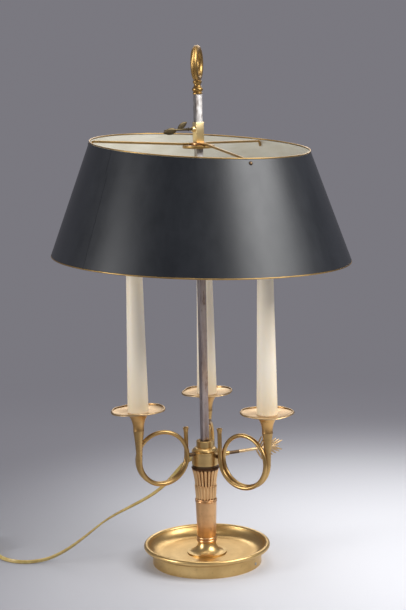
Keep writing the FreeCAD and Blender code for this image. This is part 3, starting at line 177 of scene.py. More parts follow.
def route_curve(name, points, radius=0.0):
    """Smooth open curve whose control points are the route's points."""
    data = bpy.data.curves.new(name, "CURVE")
    data.dimensions = "3D"
    data.resolution_u = 6
    data.bevel_depth = radius
    data.bevel_resolution = 6
    data.use_fill_caps = True
    spline = data.splines.new("NURBS")
    spline.points.add(len(points) - 1)
    for knot, point in zip(spline.points, points):
        knot.co = (*point, 1.0)
    spline.order_u = 3
    spline.use_endpoint_u = True
    curve = bpy.data.objects.new(name, data)
    bpy.context.scene.collection.objects.link(curve)
    return curve


def as_mesh(curve):
    """Mesh object made from a curve, which is then removed."""
    only(curve)
    bpy.ops.object.convert(target="MESH")
    return bpy.context.object


# Cord: the lead's points repeat the CAD route, in metres

CORD_RADIUS = 0.0025
# The gland's axis, and reaches along it: its mouth, and the lead's first two points
GLAND_TURN = math.radians(146.0)
GLAND_FALL = math.radians(28.0)
GLAND_HEIGHT = 0.1452
GLAND_AXIS = Vector((math.cos(GLAND_FALL) * math.cos(GLAND_TURN),
                     math.cos(GLAND_FALL) * math.sin(GLAND_TURN),
                     -math.sin(GLAND_FALL)))
LEAD_START = 0.021
LEAD_BEND = 0.036
LEAD_ROUTE = [
    (-0.0365, 0.0162, 0.1165),
    (-0.0468, 0.0148, 0.1052),
    (-0.0575, 0.0138, 0.0952),
    (-0.0740, 0.0132, 0.0835),
    (-0.1015, 0.0126, 0.0695),
    (-0.1200, 0.0120, 0.0605),
    (-0.1358, 0.0114, 0.0505),
    (-0.1505, 0.0104, 0.0388),
    (-0.1675, 0.0092, 0.0260),
    (-0.1845, 0.0076, 0.0148),
    (-0.2060, 0.0052, 0.0052),
    (-0.2280, 0.0026, 0.0025),
    (-0.2460, 0.0042, 0.0025),
    (-0.2610, 0.0126, 0.0025),
    (-0.2725, 0.0250, 0.0032),
    (-0.2810, 0.0388, 0.0055),
    (-0.2890, 0.0518, 0.0055),
]
SWITCH_HEADING = Vector((-8.0, 13.0, 0.0)).normalized()
SWITCH_LENGTH = 0.058
SWITCH_WALL = 0.0022
LINK_REACHES = (0.011, 0.021, 0.031)
COIL_RADIUS = 0.0365
COIL_PITCH = 0.0056
COIL_HALF_TURNS = 8
HALF_TURN_STEPS = 8


def gland_point(reach):
    return UP * GLAND_HEIGHT + GLAND_AXIS * reach


def half_turn_points(start, heading, end):
    """Points round a half circle from start, leaving along heading, without the start."""
    middle = (start + end) / 2
    spoke = start - middle
    reach = heading * spoke.length
    points = []
    for step in range(1, HALF_TURN_STEPS + 1):
        angle = math.pi * step / HALF_TURN_STEPS
        points.append(middle + spoke * math.cos(angle) + reach * math.sin(angle))
    return points


def coil_points(start, heading):
    """Spiral in on the floor, climb a layer in one half turn, and spiral out on top."""
    side = Vector((-heading.y, heading.x, 0))
    inward = [COIL_RADIUS - COIL_PITCH / 2 * number for number in range(COIL_HALF_TURNS)]
    climb = inward[-1] - COIL_PITCH / 2
    point = start + heading * (2 * CORD_RADIUS)
    points = [point]
    for radius in inward + [climb] + inward[::-1]:
        end = point + side * (2 * radius)
        if radius == climb:
            end = end + UP * COIL_PITCH
        points += half_turn_points(point, heading, end)
        point, heading, side = end, -heading, -side
    return points + [point + heading * (2 * CORD_RADIUS)]


def cord_route():
    lead = [gland_point(LEAD_START), gland_point(LEAD_BEND)]
    lead += [Vector(point) for point in LEAD_ROUTE]
    leave = lead[-1] + SWITCH_HEADING * (SWITCH_LENGTH - 4 * SWITCH_WALL)
    drop = UP * (leave.z - CORD_RADIUS)
    near, middle, far = (leave + SWITCH_HEADING * reach for reach in LINK_REACHES)
    link = [leave, near, middle - drop, far - drop]
    return lead + link + coil_points(link[-1], SWITCH_HEADING)


# Cores of the flex, each open by an arc in degrees either way, and its tilt and twist per point
FLEX_CORE = 0.00135
FLEX_CORE_OFFSET = 0.00115
FLEX_CORE_ARC = 115
FLEX_CORE_STEPS = 8
FLEX_TILT = math.radians(70)
FLEX_TWIST = 0.22


def make_cord(material):
    """Twin flex: two cores side by side in one skin, twisting slowly along the route."""
    bare = route_curve("flex_line", cord_route())
    line_mesh = bpy.data.meshes.new_from_object(bare)
    line = [tuple(vertex.co) for vertex in line_mesh.vertices]
    profile_data = bpy.data.curves.new("flex_section", "CURVE")
    profile_data.dimensions = "2D"
    section = profile_data.splines.new("POLY")
    corners = []
    for side in (1, -1):
        for step in range(FLEX_CORE_STEPS + 1):
            angle = math.radians(-FLEX_CORE_ARC + 2 * FLEX_CORE_ARC * step / FLEX_CORE_STEPS)
            corners.append((side * (FLEX_CORE_OFFSET + FLEX_CORE * math.cos(angle)),
                            side * FLEX_CORE * math.sin(angle)))
    section.points.add(len(corners) - 1)
    for knot, corner in zip(section.points, corners):
        knot.co = (*corner, 0, 1)
    section.use_cyclic_u = True
    profile = bpy.data.objects.new("flex_section", profile_data)
    bpy.context.scene.collection.objects.link(profile)
    bare.data.bevel_mode = "OBJECT"
    bare.data.bevel_object = profile
    for number, knot in enumerate(bare.data.splines[0].points):
        knot.tilt = FLEX_TILT + FLEX_TWIST * number
    flex = as_mesh(bare)
    bpy.data.objects.remove(profile)
    settle(flex, "flex", angle=60)
    coat(flex, material)
    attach(flex, "lamp")
    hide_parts("cord_lead", "cord_link", "cord_coil")
    return flex, line


# Materials, all worked out from noise on the object's own coordinates

class Finish:
    """A material under construction, with short ways to add its nodes."""

    def __init__(self, name):
        self.material = bpy.data.materials.new(name)
        self.material.use_nodes = True
        self.tree = self.material.node_tree
        self.shader = self.tree.nodes["Principled BSDF"]
        self.place = self.tree.nodes.new("ShaderNodeTexCoord").outputs["Object"]

    def add(self, kind, **values):
        node = self.tree.nodes.new(kind)
        for name, value in values.items():
            setattr(node, name, value)
        return node

    def link(self, source, target):
        self.tree.links.new(source, target)

    def set(self, **values):
        for name, value in values.items():
            self.shader.inputs[name.replace("_", " ")].default_value = value

    def stretched(self, scale):
        """The object's coordinates, scaled along each axis."""
        mapping = self.add("ShaderNodeMapping")
        mapping.inputs["Scale"].default_value = scale
        self.link(self.place, mapping.inputs["Vector"])
        return mapping.outputs["Vector"]

    def rings(self):
        """Coordinates that change only outward from the lamp's axis and upward."""
        split = self.add("ShaderNodeSeparateXYZ")
        self.link(self.place, split.inputs[0])
        flat = self.add("ShaderNodeCombineXYZ")
        self.link(split.outputs["X"], flat.inputs["X"])
        self.link(split.outputs["Y"], flat.inputs["Y"])
        length = self.add("ShaderNodeVectorMath", operation="LENGTH")
        self.link(flat.outputs[0], length.inputs[0])
        joined = self.add("ShaderNodeCombineXYZ")
        self.link(length.outputs["Value"], joined.inputs["X"])
        self.link(split.outputs["Z"], joined.inputs["Z"])
        return joined.outputs[0]

    def noise(self, scale, detail=4.0, rough=0.55, where=None):
        node = self.add("ShaderNodeTexNoise")
        node.inputs["Scale"].default_value = scale
        node.inputs["Detail"].default_value = detail
        node.inputs["Roughness"].default_value = rough
        self.link(where or self.place, node.inputs["Vector"])
        return node.outputs["Fac"]

    def ramp(self, source, *stops):
        """Colours or greys at places along a value from 0 to 1."""
        node = self.add("ShaderNodeValToRGB")
        elements = node.color_ramp.elements
        while len(elements) < len(stops):
            elements.new(0.5)
        for element, (position, colour) in zip(elements, stops):
            element.position = position
            shade = (colour,) * 3 if isinstance(colour, (int, float)) else colour
            element.color = (*shade, 1.0)
        self.link(source, node.inputs["Fac"])
        return node.outputs["Color"]

    def mix(self, share, first, second):
        node = self.add("ShaderNodeMix", data_type="RGBA")
        self.link(share, node.inputs["Factor"])
        colours = [item for item in node.inputs if item.type == "RGBA"]
        for target, value in zip(colours, (first, second)):
            if hasattr(value, "links"):
                self.link(value, target)
            else:
                target.default_value = (*value, 1.0)
        return [item for item in node.outputs if item.type == "RGBA"][0]

    def height(self, low, high):
        """0 at a low height and 1 at a high one."""
        split = self.add("ShaderNodeSeparateXYZ")
        self.link(self.place, split.inputs[0])
        node = self.add("ShaderNodeMapRange")
        node.inputs["From Min"].default_value = low
        node.inputs["From Max"].default_value = high
        self.link(split.outputs["Z"], node.inputs["Value"])
        return node.outputs["Result"]

    def relief(self, source, strength, distance):
        node = self.add("ShaderNodeBump")
        node.inputs["Strength"].default_value = strength
        node.inputs["Distance"].default_value = distance
        self.link(source, node.inputs["Height"])
        self.link(node.outputs["Normal"], self.shader.inputs["Normal"])

    def colour(self, source):
        self.link(source, self.shader.inputs["Base Color"])

    def roughness(self, source, low, high):
        self.link(self.ramp(source, (0.3, low), (0.7, high)), self.shader.inputs["Roughness"])


def brass(name, bright, worn, low, high, marks=True, depth=0.10):
    """Old satin brass: a little cloudy, with fine tarnish and, if turned, faint lathe marks."""
    finish = Finish(name)
    finish.set(Metallic=1.0)
    cloud = finish.noise(30, detail=3, rough=0.5)
    tarnish = finish.noise(240, detail=5, rough=0.6)
    tone = finish.mix(finish.ramp(cloud, (0.36, 0.0), (0.70, 0.65)), bright, worn)
    if marks:
        band = finish.noise(62, detail=3, where=finish.rings())
        tone = finish.mix(finish.ramp(band, (0.46, 0.0), (0.66, 0.55)), tone, worn)
    spotted = finish.mix(finish.ramp(tarnish, (0.58, 0.0), (0.78, 0.45)), tone,
                         tuple(value * 0.6 for value in worn))
    finish.colour(spotted)
    finish.roughness(finish.noise(28, detail=3), low, high)
    if marks:
        finish.relief(finish.noise(520, detail=2, where=finish.rings()), depth, 0.00006)
    else:
        finish.relief(finish.noise(90, detail=2), depth, 0.0002)
    return finish.material


def rod_steel():
    """Square bar: bright where the sleeve has rubbed it, brown and grey lower down."""
    finish = Finish("rod_steel")
    finish.set(Metallic=1.0)
    streak = finish.noise(60, detail=6, rough=0.65, where=finish.stretched((1, 1, 0.18)))
    stain = finish.noise(210, detail=5, rough=0.6, where=finish.stretched((1, 1, 0.35)))
    low = finish.ramp(streak, (0.30, (0.22, 0.17, 0.16)), (0.52, (0.46, 0.39, 0.37)),
                      (0.75, (0.70, 0.65, 0.63)))
    spotted = finish.mix(finish.ramp(stain, (0.55, 0.0), (0.72, 0.7)), low, (0.16, 0.09, 0.06))
    bright = finish.ramp(stain, (0.40, (0.58, 0.56, 0.54)), (0.62, (0.22, 0.19, 0.17)))
    finish.colour(finish.mix(finish.height(0.44, 0.54), spotted, bright))
    finish.roughness(streak, 0.28, 0.5)
    finish.relief(stain, 0.2, 0.0004)
    return finish.material


def candle_plastic():
    """Ivory sleeve that imitates wax, a little yellower towards its foot."""
    finish = Finish("candle_plastic")
    cloud = finish.noise(26, detail=4, where=finish.stretched((1, 1, 0.3)))
    body = finish.ramp(cloud, (0.30, (0.96, 0.78, 0.57)), (0.70, (0.98, 0.86, 0.70)))
    foot = finish.mix(finish.height(0.20, 0.27), (0.92, 0.71, 0.47), body)
    finish.colour(foot)
    finish.set(Subsurface_Weight=0.25, Subsurface_Scale=0.006)
    finish.shader.inputs["Subsurface Radius"].default_value = (1.0, 0.7, 0.4)
    finish.roughness(finish.noise(90), 0.30, 0.46)
    finish.relief(finish.noise(55, detail=3, where=finish.stretched((1, 1, 0.2))), 0.12, 0.001)
    return finish.material


def shade_black():
    """Satin black lacquer on tin, with faint scuffs and dust."""
    finish = Finish("shade_black")
    scuff = finish.noise(30, detail=8, rough=0.7, where=finish.stretched((1, 1, 0.35)))
    dust = finish.noise(650, detail=3, rough=0.8)
    black = finish.ramp(scuff, (0.35, (0.005, 0.007, 0.010)), (0.72, (0.011, 0.0135, 0.018)))
    finish.colour(finish.mix(finish.ramp(dust, (0.70, 0.0), (0.80, 0.4)), black,
                             (0.05, 0.05, 0.052)))
    finish.roughness(scuff, 0.36, 0.44)
    finish.relief(finish.noise(14, detail=2), 0.10, 0.003)
    finish.set(IOR=1.5, Specular_IOR_Level=0.6)
    return finish.material


def shade_cream():
    """Cream paint inside the shade, with brush marks and slight yellowing."""
    finish = Finish("shade_cream")
    brush = finish.noise(34, detail=6, where=finish.stretched((1, 1, 3.5)))
    finish.colour(finish.ramp(brush, (0.30, (0.70, 0.67, 0.55)), (0.70, (0.79, 0.77, 0.67))))
    finish.roughness(brush, 0.5, 0.68)
    finish.relief(brush, 0.15, 0.0006)
    return finish.material


def flex_skin():
    """Clear golden plastic of the twin flex, over bright strands."""
    finish = Finish("flex_skin")
    cloud = finish.noise(70, detail=3)
    finish.colour(finish.ramp(cloud, (0.30, (0.36, 0.25, 0.07)), (0.70, (0.52, 0.39, 0.14))))
    finish.roughness(finish.noise(240), 0.18, 0.34)
    finish.set(Coat_Weight=0.5, Subsurface_Weight=0.2, Subsurface_Scale=0.002)
    finish.relief(finish.noise(900, detail=2), 0.08, 0.0002)
    return finish.material


def moulded(name, first, second, low, high):
    """Moulded plastic with a fine grain."""
    finish = Finish(name)
    finish.colour(finish.ramp(finish.noise(60), (0.3, first), (0.7, second)))
    finish.roughness(finish.noise(150), low, high)
    finish.relief(finish.noise(900, detail=2), 0.15, 0.0002)
    return finish.material


def felt_cloth():
    finish = Finish("felt_cloth")
    fibre = finish.noise(1400, detail=6, rough=0.8)
    finish.colour(finish.ramp(fibre, (0.3, (0.035, 0.07, 0.045)), (0.7, (0.09, 0.15, 0.10))))
    finish.set(Roughness=0.95, Sheen_Weight=0.3)
    finish.relief(fibre, 0.6, 0.0006)
    return finish.material


def iron():
    finish = Finish("iron")
    cast = finish.noise(500, detail=5)
    finish.colour(finish.ramp(cast, (0.3, (0.03, 0.028, 0.027)), (0.7, (0.075, 0.07, 0.066))))
    finish.set(Metallic=0.6)
    finish.roughness(cast, 0.6, 0.8)
    finish.relief(cast, 0.5, 0.0008)
    return finish.material


def bulb_glass():
    finish = Finish("bulb_glass")
    finish.set(Transmission_Weight=1.0, IOR=1.45)
    finish.colour(finish.ramp(finish.noise(30), (0.3, (0.97, 0.97, 0.95)),
                              (0.7, (1.0, 1.0, 0.98))))
    finish.roughness(finish.noise(80), 0.02, 0.06)
    return finish.material


def plain_steel():
    finish = Finish("plain_steel")
    finish.set(Metallic=1.0)
    fine = finish.noise(320, detail=5)
    finish.colour(finish.ramp(fine, (0.3, (0.42, 0.41, 0.39)), (0.7, (0.62, 0.60, 0.57))))
    finish.roughness(fine, 0.26, 0.4)
    finish.relief(fine, 0.1, 0.0003)
    return finish.material


GOLD = brass("gold_brass", (0.78, 0.55, 0.24), (0.50, 0.31, 0.11), 0.30, 0.42)
COPPER = brass("copper_brass", (0.82, 0.51, 0.26), (0.54, 0.29, 0.12), 0.28, 0.38)
CAPITAL = brass("leaf_brass", (0.86, 0.56, 0.28), (0.54, 0.30, 0.12), 0.30, 0.42, marks=False)
# Near-black brass for the capital's core: painted shade in the gaps between the leaves
PAINTED_GAP_SHADE = brass("leaf_gap_shade", (0.14, 0.07, 0.035), (0.07, 0.035, 0.02), 0.42, 0.55, marks=False)
HORN = brass("horn_brass", (0.56, 0.36, 0.14), (0.30, 0.18, 0.065), 0.26, 0.38, marks=False)
BELL = brass("bell_brass", (0.64, 0.38, 0.14), (0.38, 0.21, 0.07), 0.28, 0.40, marks=False)
PAN = brass("pan_brass", (0.60, 0.42, 0.23), (0.36, 0.23, 0.105), 0.32, 0.44, marks=False)
SLEEVE = brass("sleeve_brass", (0.96, 0.76, 0.40), (0.84, 0.60, 0.27), 0.28, 0.38)
RING = brass("ring_brass", (0.46, 0.29, 0.10), (0.30, 0.17, 0.055), 0.38, 0.48, marks=False,
             depth=0.03)
# Dark brass; on the arm lugs and the key it is painted shadow
DARK_AND_SHADOW = brass("dark_brass", (0.16, 0.10, 0.055), (0.07, 0.045, 0.025), 0.38, 0.52, marks=False)
# Very dark brass for the shade's key: its darkness is painted shadow
SHADOWED_KEY_BRASS = brass("key_shadow_brass", (0.13, 0.10, 0.055), (0.06, 0.045, 0.025), 0.32, 0.48, marks=False)
GILT = brass("gilt_bead", (0.50, 0.32, 0.12), (0.28, 0.17, 0.06), 0.30, 0.44, marks=False)
ROD = rod_steel()
STEEL = plain_steel()
CANDLE = candle_plastic()
BLACK = shade_black()
CREAM = shade_cream()
FLEX = flex_skin()
FELT = felt_cloth()
IRON = iron()
GLASS = bulb_glass()
HOLDER = moulded("holder_plastic", (0.02, 0.02, 0.02), (0.04, 0.038, 0.035), 0.4, 0.55)
FITTING = moulded("fitting_plastic", (0.42, 0.30, 0.10), (0.54, 0.41, 0.16), 0.28, 0.42)
WIRE = moulded("wire_plastic", (0.60, 0.52, 0.34), (0.72, 0.64, 0.44), 0.4, 0.5)

NODE_FINISHES = {
    "base_dish": GOLD, "base_weight": IRON, "base_felt": FELT, "base_nut": STEEL,
    "base_washer": STEEL, "column_foot": GOLD, "lower_rings": COPPER, "column_shaft": COPPER,
    "upper_rings": COPPER, "column_capital": COPPER, "hub_floor": DARK_AND_SHADOW, "square_rod": ROD,
    "collar": GOLD, "collar_cap": GOLD, "arrow_boss": HORN, "arrow_screw": DARK_AND_SHADOW,
    # The arm lugs take the dark brass as painted shadow beside the collar
    "arrow_tail": PAN, "cord_gland": FLEX, "arm_lugs": DARK_AND_SHADOW, "arm_wires": WIRE,
    "bulb_caps": STEEL, "candle_risers": STEEL, "shade_shell": BLACK,
    "shade_top_bead": GILT, "shade_bottom_bead": GILT, "spider_hub": GILT,
    "spider_wires": GILT, "shade_rivets": DARK_AND_SHADOW, "shade_sleeve": GOLD, "sleeve_ring": COPPER,
    # The CAD key takes the dark brass as painted shadow
    "shade_key": DARK_AND_SHADOW, "finial_knob": RING, "finial_ring": RING, "cord_lead": FLEX,
    "cord_link": FLEX, "cord_coil": FLEX, "switch_base": FITTING, "switch_cover": FITTING,
    "switch_rocker": FITTING, "plug_body": FITTING, "plug_pins": STEEL,
}
for arm in ARMS:
    NODE_FINISHES["horn_tube_" + arm] = HORN
    NODE_FINISHES["horn_bell_" + arm] = BELL
    NODE_FINISHES["drip_pan_" + arm] = PAN
    NODE_FINISHES["candle_sleeve_" + arm] = CANDLE
    NODE_FINISHES["lampholder_" + arm] = HOLDER
    NODE_FINISHES["bulb_glass_" + arm] = GLASS
for node_name, node in nodes.items():
    coat(node, NODE_FINISHES[node_name])

flex, flex_line = make_cord(FLEX)


# New pieces, modelled about the origin and then stood in their places

def stand_on_arm(piece, arm):
    """Move a piece drawn about the Z axis to the bell's axis of an arm."""
    azimuth, rise = ARMS[arm]
    piece.matrix_world = (rotation(azimuth, "Z")
                          @ Matrix.Translation((BELL_REACH, STRAND_OFFSET, rise)))


def outward(azimuth, height):
    """Place whose Z axis points outward from the lamp's axis."""
    return rotation(azimuth, "Z") @ Matrix.Translation((0, 0, height)) @ rotation(90, "Y")


def lift(piece, height, share, texture=None):
    """Raise points by up to a height, each by its own share."""
    group = piece.vertex_groups.new(name="lift")
    for vertex in piece.data.vertices:
        group.add([vertex.index], share(vertex.co), "REPLACE")
    change = piece.modifiers.new("lift", "DISPLACE")
    change.direction = "Z"
    change.strength = height
    change.mid_level = 0.5 if texture else 0.0
    change.texture = texture
    change.texture_coords = "LOCAL"
    change.vertex_group = group.name
    apply_modifiers(piece)
    piece.vertex_groups.clear()


def tongue(sections, depth):
    """Closed leaf drawn upward; a section gives height, reach outward and half width."""
    deselect()
    height, reach, half = sections[0]
    bpy.ops.mesh.primitive_plane_add(size=1, location=(0, 0, 0))
    leaf = bpy.context.object
    open_mesh()
    bpy.ops.transform.resize(value=(depth, 2 * half, 1))
    bpy.ops.transform.translate(value=(reach - depth / 2, 0, height))
    for next_height, next_reach, next_half in sections[1:]:
        bpy.ops.mesh.extrude_region_move(TRANSFORM_OT_translate={
            "value": (next_reach - reach, 0, next_height - height)})
        bpy.ops.transform.resize(value=(1, next_half / half, 1),
                                 center_override=(next_reach, 0, next_height))
        height, reach, half = next_height, next_reach, next_half
    close_mesh()
    soft = leaf.modifiers.new("soft", "SUBSURF")
    soft.levels = soft.render_levels = 2
    apply_modifiers(leaf)
    return leaf


def copied(piece, place):
    """Copy with its own mesh, at a place."""
    copy = piece.copy()
    copy.data = piece.data.copy()
    bpy.context.scene.collection.objects.link(copy)
    copy.matrix_world = place
    return copy


def ring_of(piece, count, start=0.0):
    """Copies of a piece in a ring about the Z axis; the piece itself is removed."""
    copies = [copied(piece, rotation(start + 360 * number / count, "Z"))
              for number in range(count)]
    bpy.data.objects.remove(piece)
    return copies


def finish_piece(piece, name, body, materials, stands_for=(), angle=40.0):
    """Settle a piece and tell the frame its body and the CAD pieces it stands for."""
    settle(piece, name, angle)
    if materials:
        coat(piece, *materials)
    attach(piece, body)
    if stands_for:
        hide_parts(*stands_for)
    return piece


def softened(node_name, width, body, slot, material):
    """Copy of a CAD piece with its sharp edges rounded over."""
    piece = copied(nodes[node_name], nodes[node_name].matrix_world.copy())
    only(piece)
    open_mesh()
    bpy.ops.mesh.remove_doubles(threshold=1e-6)
    bpy.ops.mesh.dissolve_limited(angle_limit=math.radians(1.0))
    bpy.ops.object.mode_set(mode="OBJECT")
    edge = piece.modifiers.new("edge", "BEVEL")
    edge.width = width
    edge.segments = 3
    edge.limit_method = "ANGLE"
    edge.angle_limit = math.radians(40)
    edge.use_clamp_overlap = True
    apply_modifiers(piece)
    return finish_piece(piece, node_name + "_rounded", body, [material], [node_name], 35)


# Shade: a tin cone between two rims that hang a little out of level

SHADE_WALL = 0.0008
SHADE_SIDES = 240
SHADE_CUTS = 14
RIM_INSET = 0.00095
# Each rim's radius, shift along X and height, and its fall to the right and nod in degrees
TOP_RIM = (0.1370, 0.0018, 0.5372, 3.66, 2.6)
BOTTOM_RIM = (0.1874, 0.0007, 0.3978, 2.21, 0.3)
LAP_AZIMUTH = 220.0
LAP_HALF_ANGLE = 1.6
LAP_THICKNESS = 0.0002


def rim_circle(rim, inset):
    radius, shift, height, fall, nod = rim
    circle = add_circle(SHADE_SIDES, radius + SHADE_WALL / 2)
    circle.matrix_world = (Matrix.Translation((shift, 0, height)) @ rotation(fall, "Y")
                           @ rotation(nod, "X") @ Matrix.Translation((0, 0, inset)))
    return circle


def make_shade():
    shade = join([rim_circle(BOTTOM_RIM, RIM_INSET), rim_circle(TOP_RIM, -RIM_INSET)])
    open_mesh()
    bpy.ops.mesh.bridge_edge_loops(number_cuts=SHADE_CUTS, interpolation="LINEAR")
    bpy.ops.mesh.select_all(action="SELECT")
    bpy.ops.mesh.normals_make_consistent(inside=False)
    bpy.ops.mesh.select_all(action="DESELECT")
    bpy.ops.object.mode_set(mode="OBJECT")
    apply_place(shade)
    for face in shade.data.polygons:
        azimuth = math.degrees(math.atan2(face.center.y, face.center.x)) % 360
        face.select = abs(azimuth - LAP_AZIMUTH) < LAP_HALF_ANGLE
    bpy.ops.object.mode_set(mode="EDIT")
    bpy.ops.mesh.select_mode(type="FACE")
    bpy.ops.mesh.extrude_region_shrink_fatten(
        TRANSFORM_OT_shrink_fatten={"value": LAP_THICKNESS})
    bpy.ops.mesh.select_mode(type="VERT")
    bpy.ops.object.mode_set(mode="OBJECT")
    coat(shade, BLACK, CREAM)
    wall = shade.modifiers.new("wall", "SOLIDIFY")
    wall.thickness = SHADE_WALL
    wall.offset = -1
    wall.material_offset = 1
    apply_modifiers(shade)
    return finish_piece(shade, "shade_cone", "shade", [], ["shade_shell"], angle=25)


# Drip pans: thin spun brass, bent a little out of true

# How far each pan's high side rises, its low side falling as far, and its azimuth in degrees
PAN_TILTS = {"left": (0.0012, 10.0), "right": (0.0005, 200.0), "back": (0.0008, 20.0)}
PAN_BORE = 0.0050
PAN_UNDER = 0.2048
PAN_OVER = 0.2060
PAN_REACH = 0.034
PAN_STIFF_REACH = 0.0155
PAN_BENT_WIDTH = 0.0185
PAN_WAVE_HEIGHT = 0.0036
PAN_WAVE_SCALE = 0.036


def pan_profile():
    """Section that ends where it starts: under the pan, round its rolled rim and back."""
    flat_under, slope = (0.0150, PAN_UNDER), (0.0320, PAN_UNDER + 0.0022)
    rim, lip = (0.0326, PAN_UNDER + 0.0046), (0.0318, PAN_OVER + 0.0019)
    flat_over = (0.0150, PAN_OVER)
    return ([(PAN_BORE, PAN_UNDER), flat_under]
            + bow(flat_under, slope, -0.04, 9)
            + bow(slope, rim, -0.75, 8)
            + bow(rim, lip, -0.35, 5)
            + bow(lip, flat_over, 0.045, 9)
            + [(PAN_BORE, PAN_OVER), (PAN_BORE, PAN_UNDER)])


def make_pan(arm):
    pan = turned(pan_profile(), sides=128, closed=True)
    stand_on_arm(pan, arm)
    apply_place(pan)
    centre = Matrix.Rotation(math.radians(ARMS[arm][0]), 3, "Z") @ Vector(
        (BELL_REACH, STRAND_OFFSET, 0))
    waves = bpy.data.textures.new("pan_waves_" + arm, "CLOUDS")
    waves.noise_scale = PAN_WAVE_SCALE
    waves.noise_depth = 1
    rise, azimuth = PAN_TILTS[arm]
    high_side = Vector((math.cos(math.radians(azimuth)), math.sin(math.radians(azimuth)), 0))

    def outer_share(point):
        reach = ((point.x - centre.x) ** 2 + (point.y - centre.y) ** 2) ** 0.5
        return min(1.0, max(0.0, (reach - PAN_STIFF_REACH) / PAN_BENT_WIDTH)) ** 1.3

    def side_share(sign):
        def share(point):
            along = (point.x - centre.x) * high_side.x + (point.y - centre.y) * high_side.y
            return outer_share(point) * max(0.0, sign * along / PAN_REACH)
        return share

    lift(pan, PAN_WAVE_HEIGHT, outer_share, waves)
    for sign in (1, -1):
        lift(pan, sign * rise, side_share(sign))
    return finish_piece(pan, "wavy_pan_" + arm, "lamp", [PAN], ["drip_pan_" + arm], 50)


# Capital: two tiers of leaves round a flared core

LEAF_COUNT = 20


def make_capital():
    core = turned([(0.0100, 0.0846), (0.0126, 0.0846), (0.0124, 0.0860), (0.0117, 0.0870),
                   (0.0117, 0.0980), (0.0120, 0.1060), (0.0127, 0.1130), (0.0138, 0.1190),
                   (0.0150, 0.1232), (0.0166, 0.1240), (0.0176, 0.1247), (0.0179, 0.1255),
                   (0.0177, 0.1263), (0.0168, 0.1268), (0.0100, 0.1268), (0.0100, 0.0846)],
                  sides=120, closed=True)
    # The core's near-black coat is painted shade between the leaves
    coat(core, PAINTED_GAP_SHADE)
    tall = tongue([(0.0818, 0.0127, 0.0014), (0.0920, 0.0131, 0.0014), (0.1020, 0.0136, 0.0016),
                   (0.1100, 0.0145, 0.0018), (0.1160, 0.0156, 0.0020), (0.1205, 0.0167, 0.0022),
                   (0.1232, 0.0175, 0.0021), (0.1246, 0.0179, 0.0010)], 0.0042)
    coat(tall, CAPITAL)
    short = tongue([(0.0815, 0.0130, 0.0017), (0.0890, 0.0136, 0.0016), (0.0960, 0.0141, 0.0017),
                    (0.1010, 0.0146, 0.0015), (0.1035, 0.0147, 0.0006)], 0.0040)
    coat(short, CAPITAL)
    pieces = [core] + ring_of(tall, LEAF_COUNT)
    pieces += ring_of(short, LEAF_COUNT, 180 / LEAF_COUNT)
    return finish_piece(join(pieces), "leaf_capital", "lamp", [],
                        ["column_capital"], 50)


# Arrow: its tail carries swept barbs on both sides

ARROW_PLACE = outward(27.0, 0.1395)
BARB_PAIRS = 7
BARB_FIRST = 0.0745
BARB_PITCH = 0.0038
BARB_SPREAD = 60
BARB_CLOSING = 6.5


def make_arrow_tail():
    stem = turned([(0.0005, 0.0490), (0.0021, 0.0490), (0.0021, 0.0560), (0.0024, 0.0568),
                   (0.0021, 0.0576), (0.0020, 0.0740), (0.0014, 0.0940), (0.0006, 0.1080),
                   (0.0003, 0.1090)], sides=32, capped=True)
    barb = tongue([(0.0, 0.0010, 0.0010), (0.0045, 0.0010, 0.0015), (0.0105, 0.0010, 0.0015),
                   (0.0155, 0.0010, 0.0011), (0.0184, 0.0010, 0.0004)], 0.0020)
    barbs = []
    for number in range(BARB_PAIRS):
        spread = BARB_SPREAD - BARB_CLOSING * number
        foot = Matrix.Translation((0, 0, BARB_FIRST + BARB_PITCH * number))
        for side in (1, -1):
            barbs.append(copied(barb, foot @ rotation(side * spread, "Y") @ rotation(90, "Z")))
    bpy.data.objects.remove(barb)
    tail = join([stem] + barbs)
    tail.matrix_world = ARROW_PLACE
    return finish_piece(tail, "arrow_feather", "arrow_screw", [PAN], ["arrow_tail"], 50)


# Key of the shade: a round shank with two pointed leaves

KEY_PLACE = outward(207.0, 0.5575)
# Each leaf's shift, foot, lean in degrees and size
KEY_LEAVES = ((0.0005, 0.0295, 8, 1.0), (-0.0008, 0.0285, -148, 0.82))


def make_key():
    shank = turned([(0.0003, 0.0044), (0.0016, 0.0044), (0.0016, 0.0130), (0.0024, 0.0138),
                    (0.0016, 0.0146), (0.0014, 0.0290), (0.0011, 0.0400), (0.0005, 0.0470)],
                   sides=32, capped=True)
    leaf = tongue([(0.0, 0.0008, 0.0010), (0.0035, 0.0008, 0.0036), (0.0080, 0.0010, 0.0050),
                   (0.0130, 0.0008, 0.0042), (0.0170, 0.0006, 0.0020), (0.0190, 0.0005, 0.0004)],
                  0.0016)
    leaves = [copied(leaf, Matrix.Translation((shift, 0, foot)) @ rotation(lean, "Y")
                     @ rotation(90, "Z") @ Matrix.Scale(scale, 4))
              for shift, foot, lean, scale in KEY_LEAVES]
    bpy.data.objects.remove(leaf)
    key = join([shank] + leaves)
    key.matrix_world = KEY_PLACE
    # The key's near-black coat is painted shadow
    return finish_piece(key, "leaf_key", "shade_key", [SHADOWED_KEY_BRASS], ["shade_key"], 50)


# Finial: a turned knob and its carrying ring

RING_PLACE = outward(-11.5, 0.6373)
RING_RADIUS = 0.01845
RING_WIRE_RADIUS = 0.00425
RING_STEPS = 32
GROOVE_HALF_ANGLE = 12
GROOVE_DEPTH = 0.0007


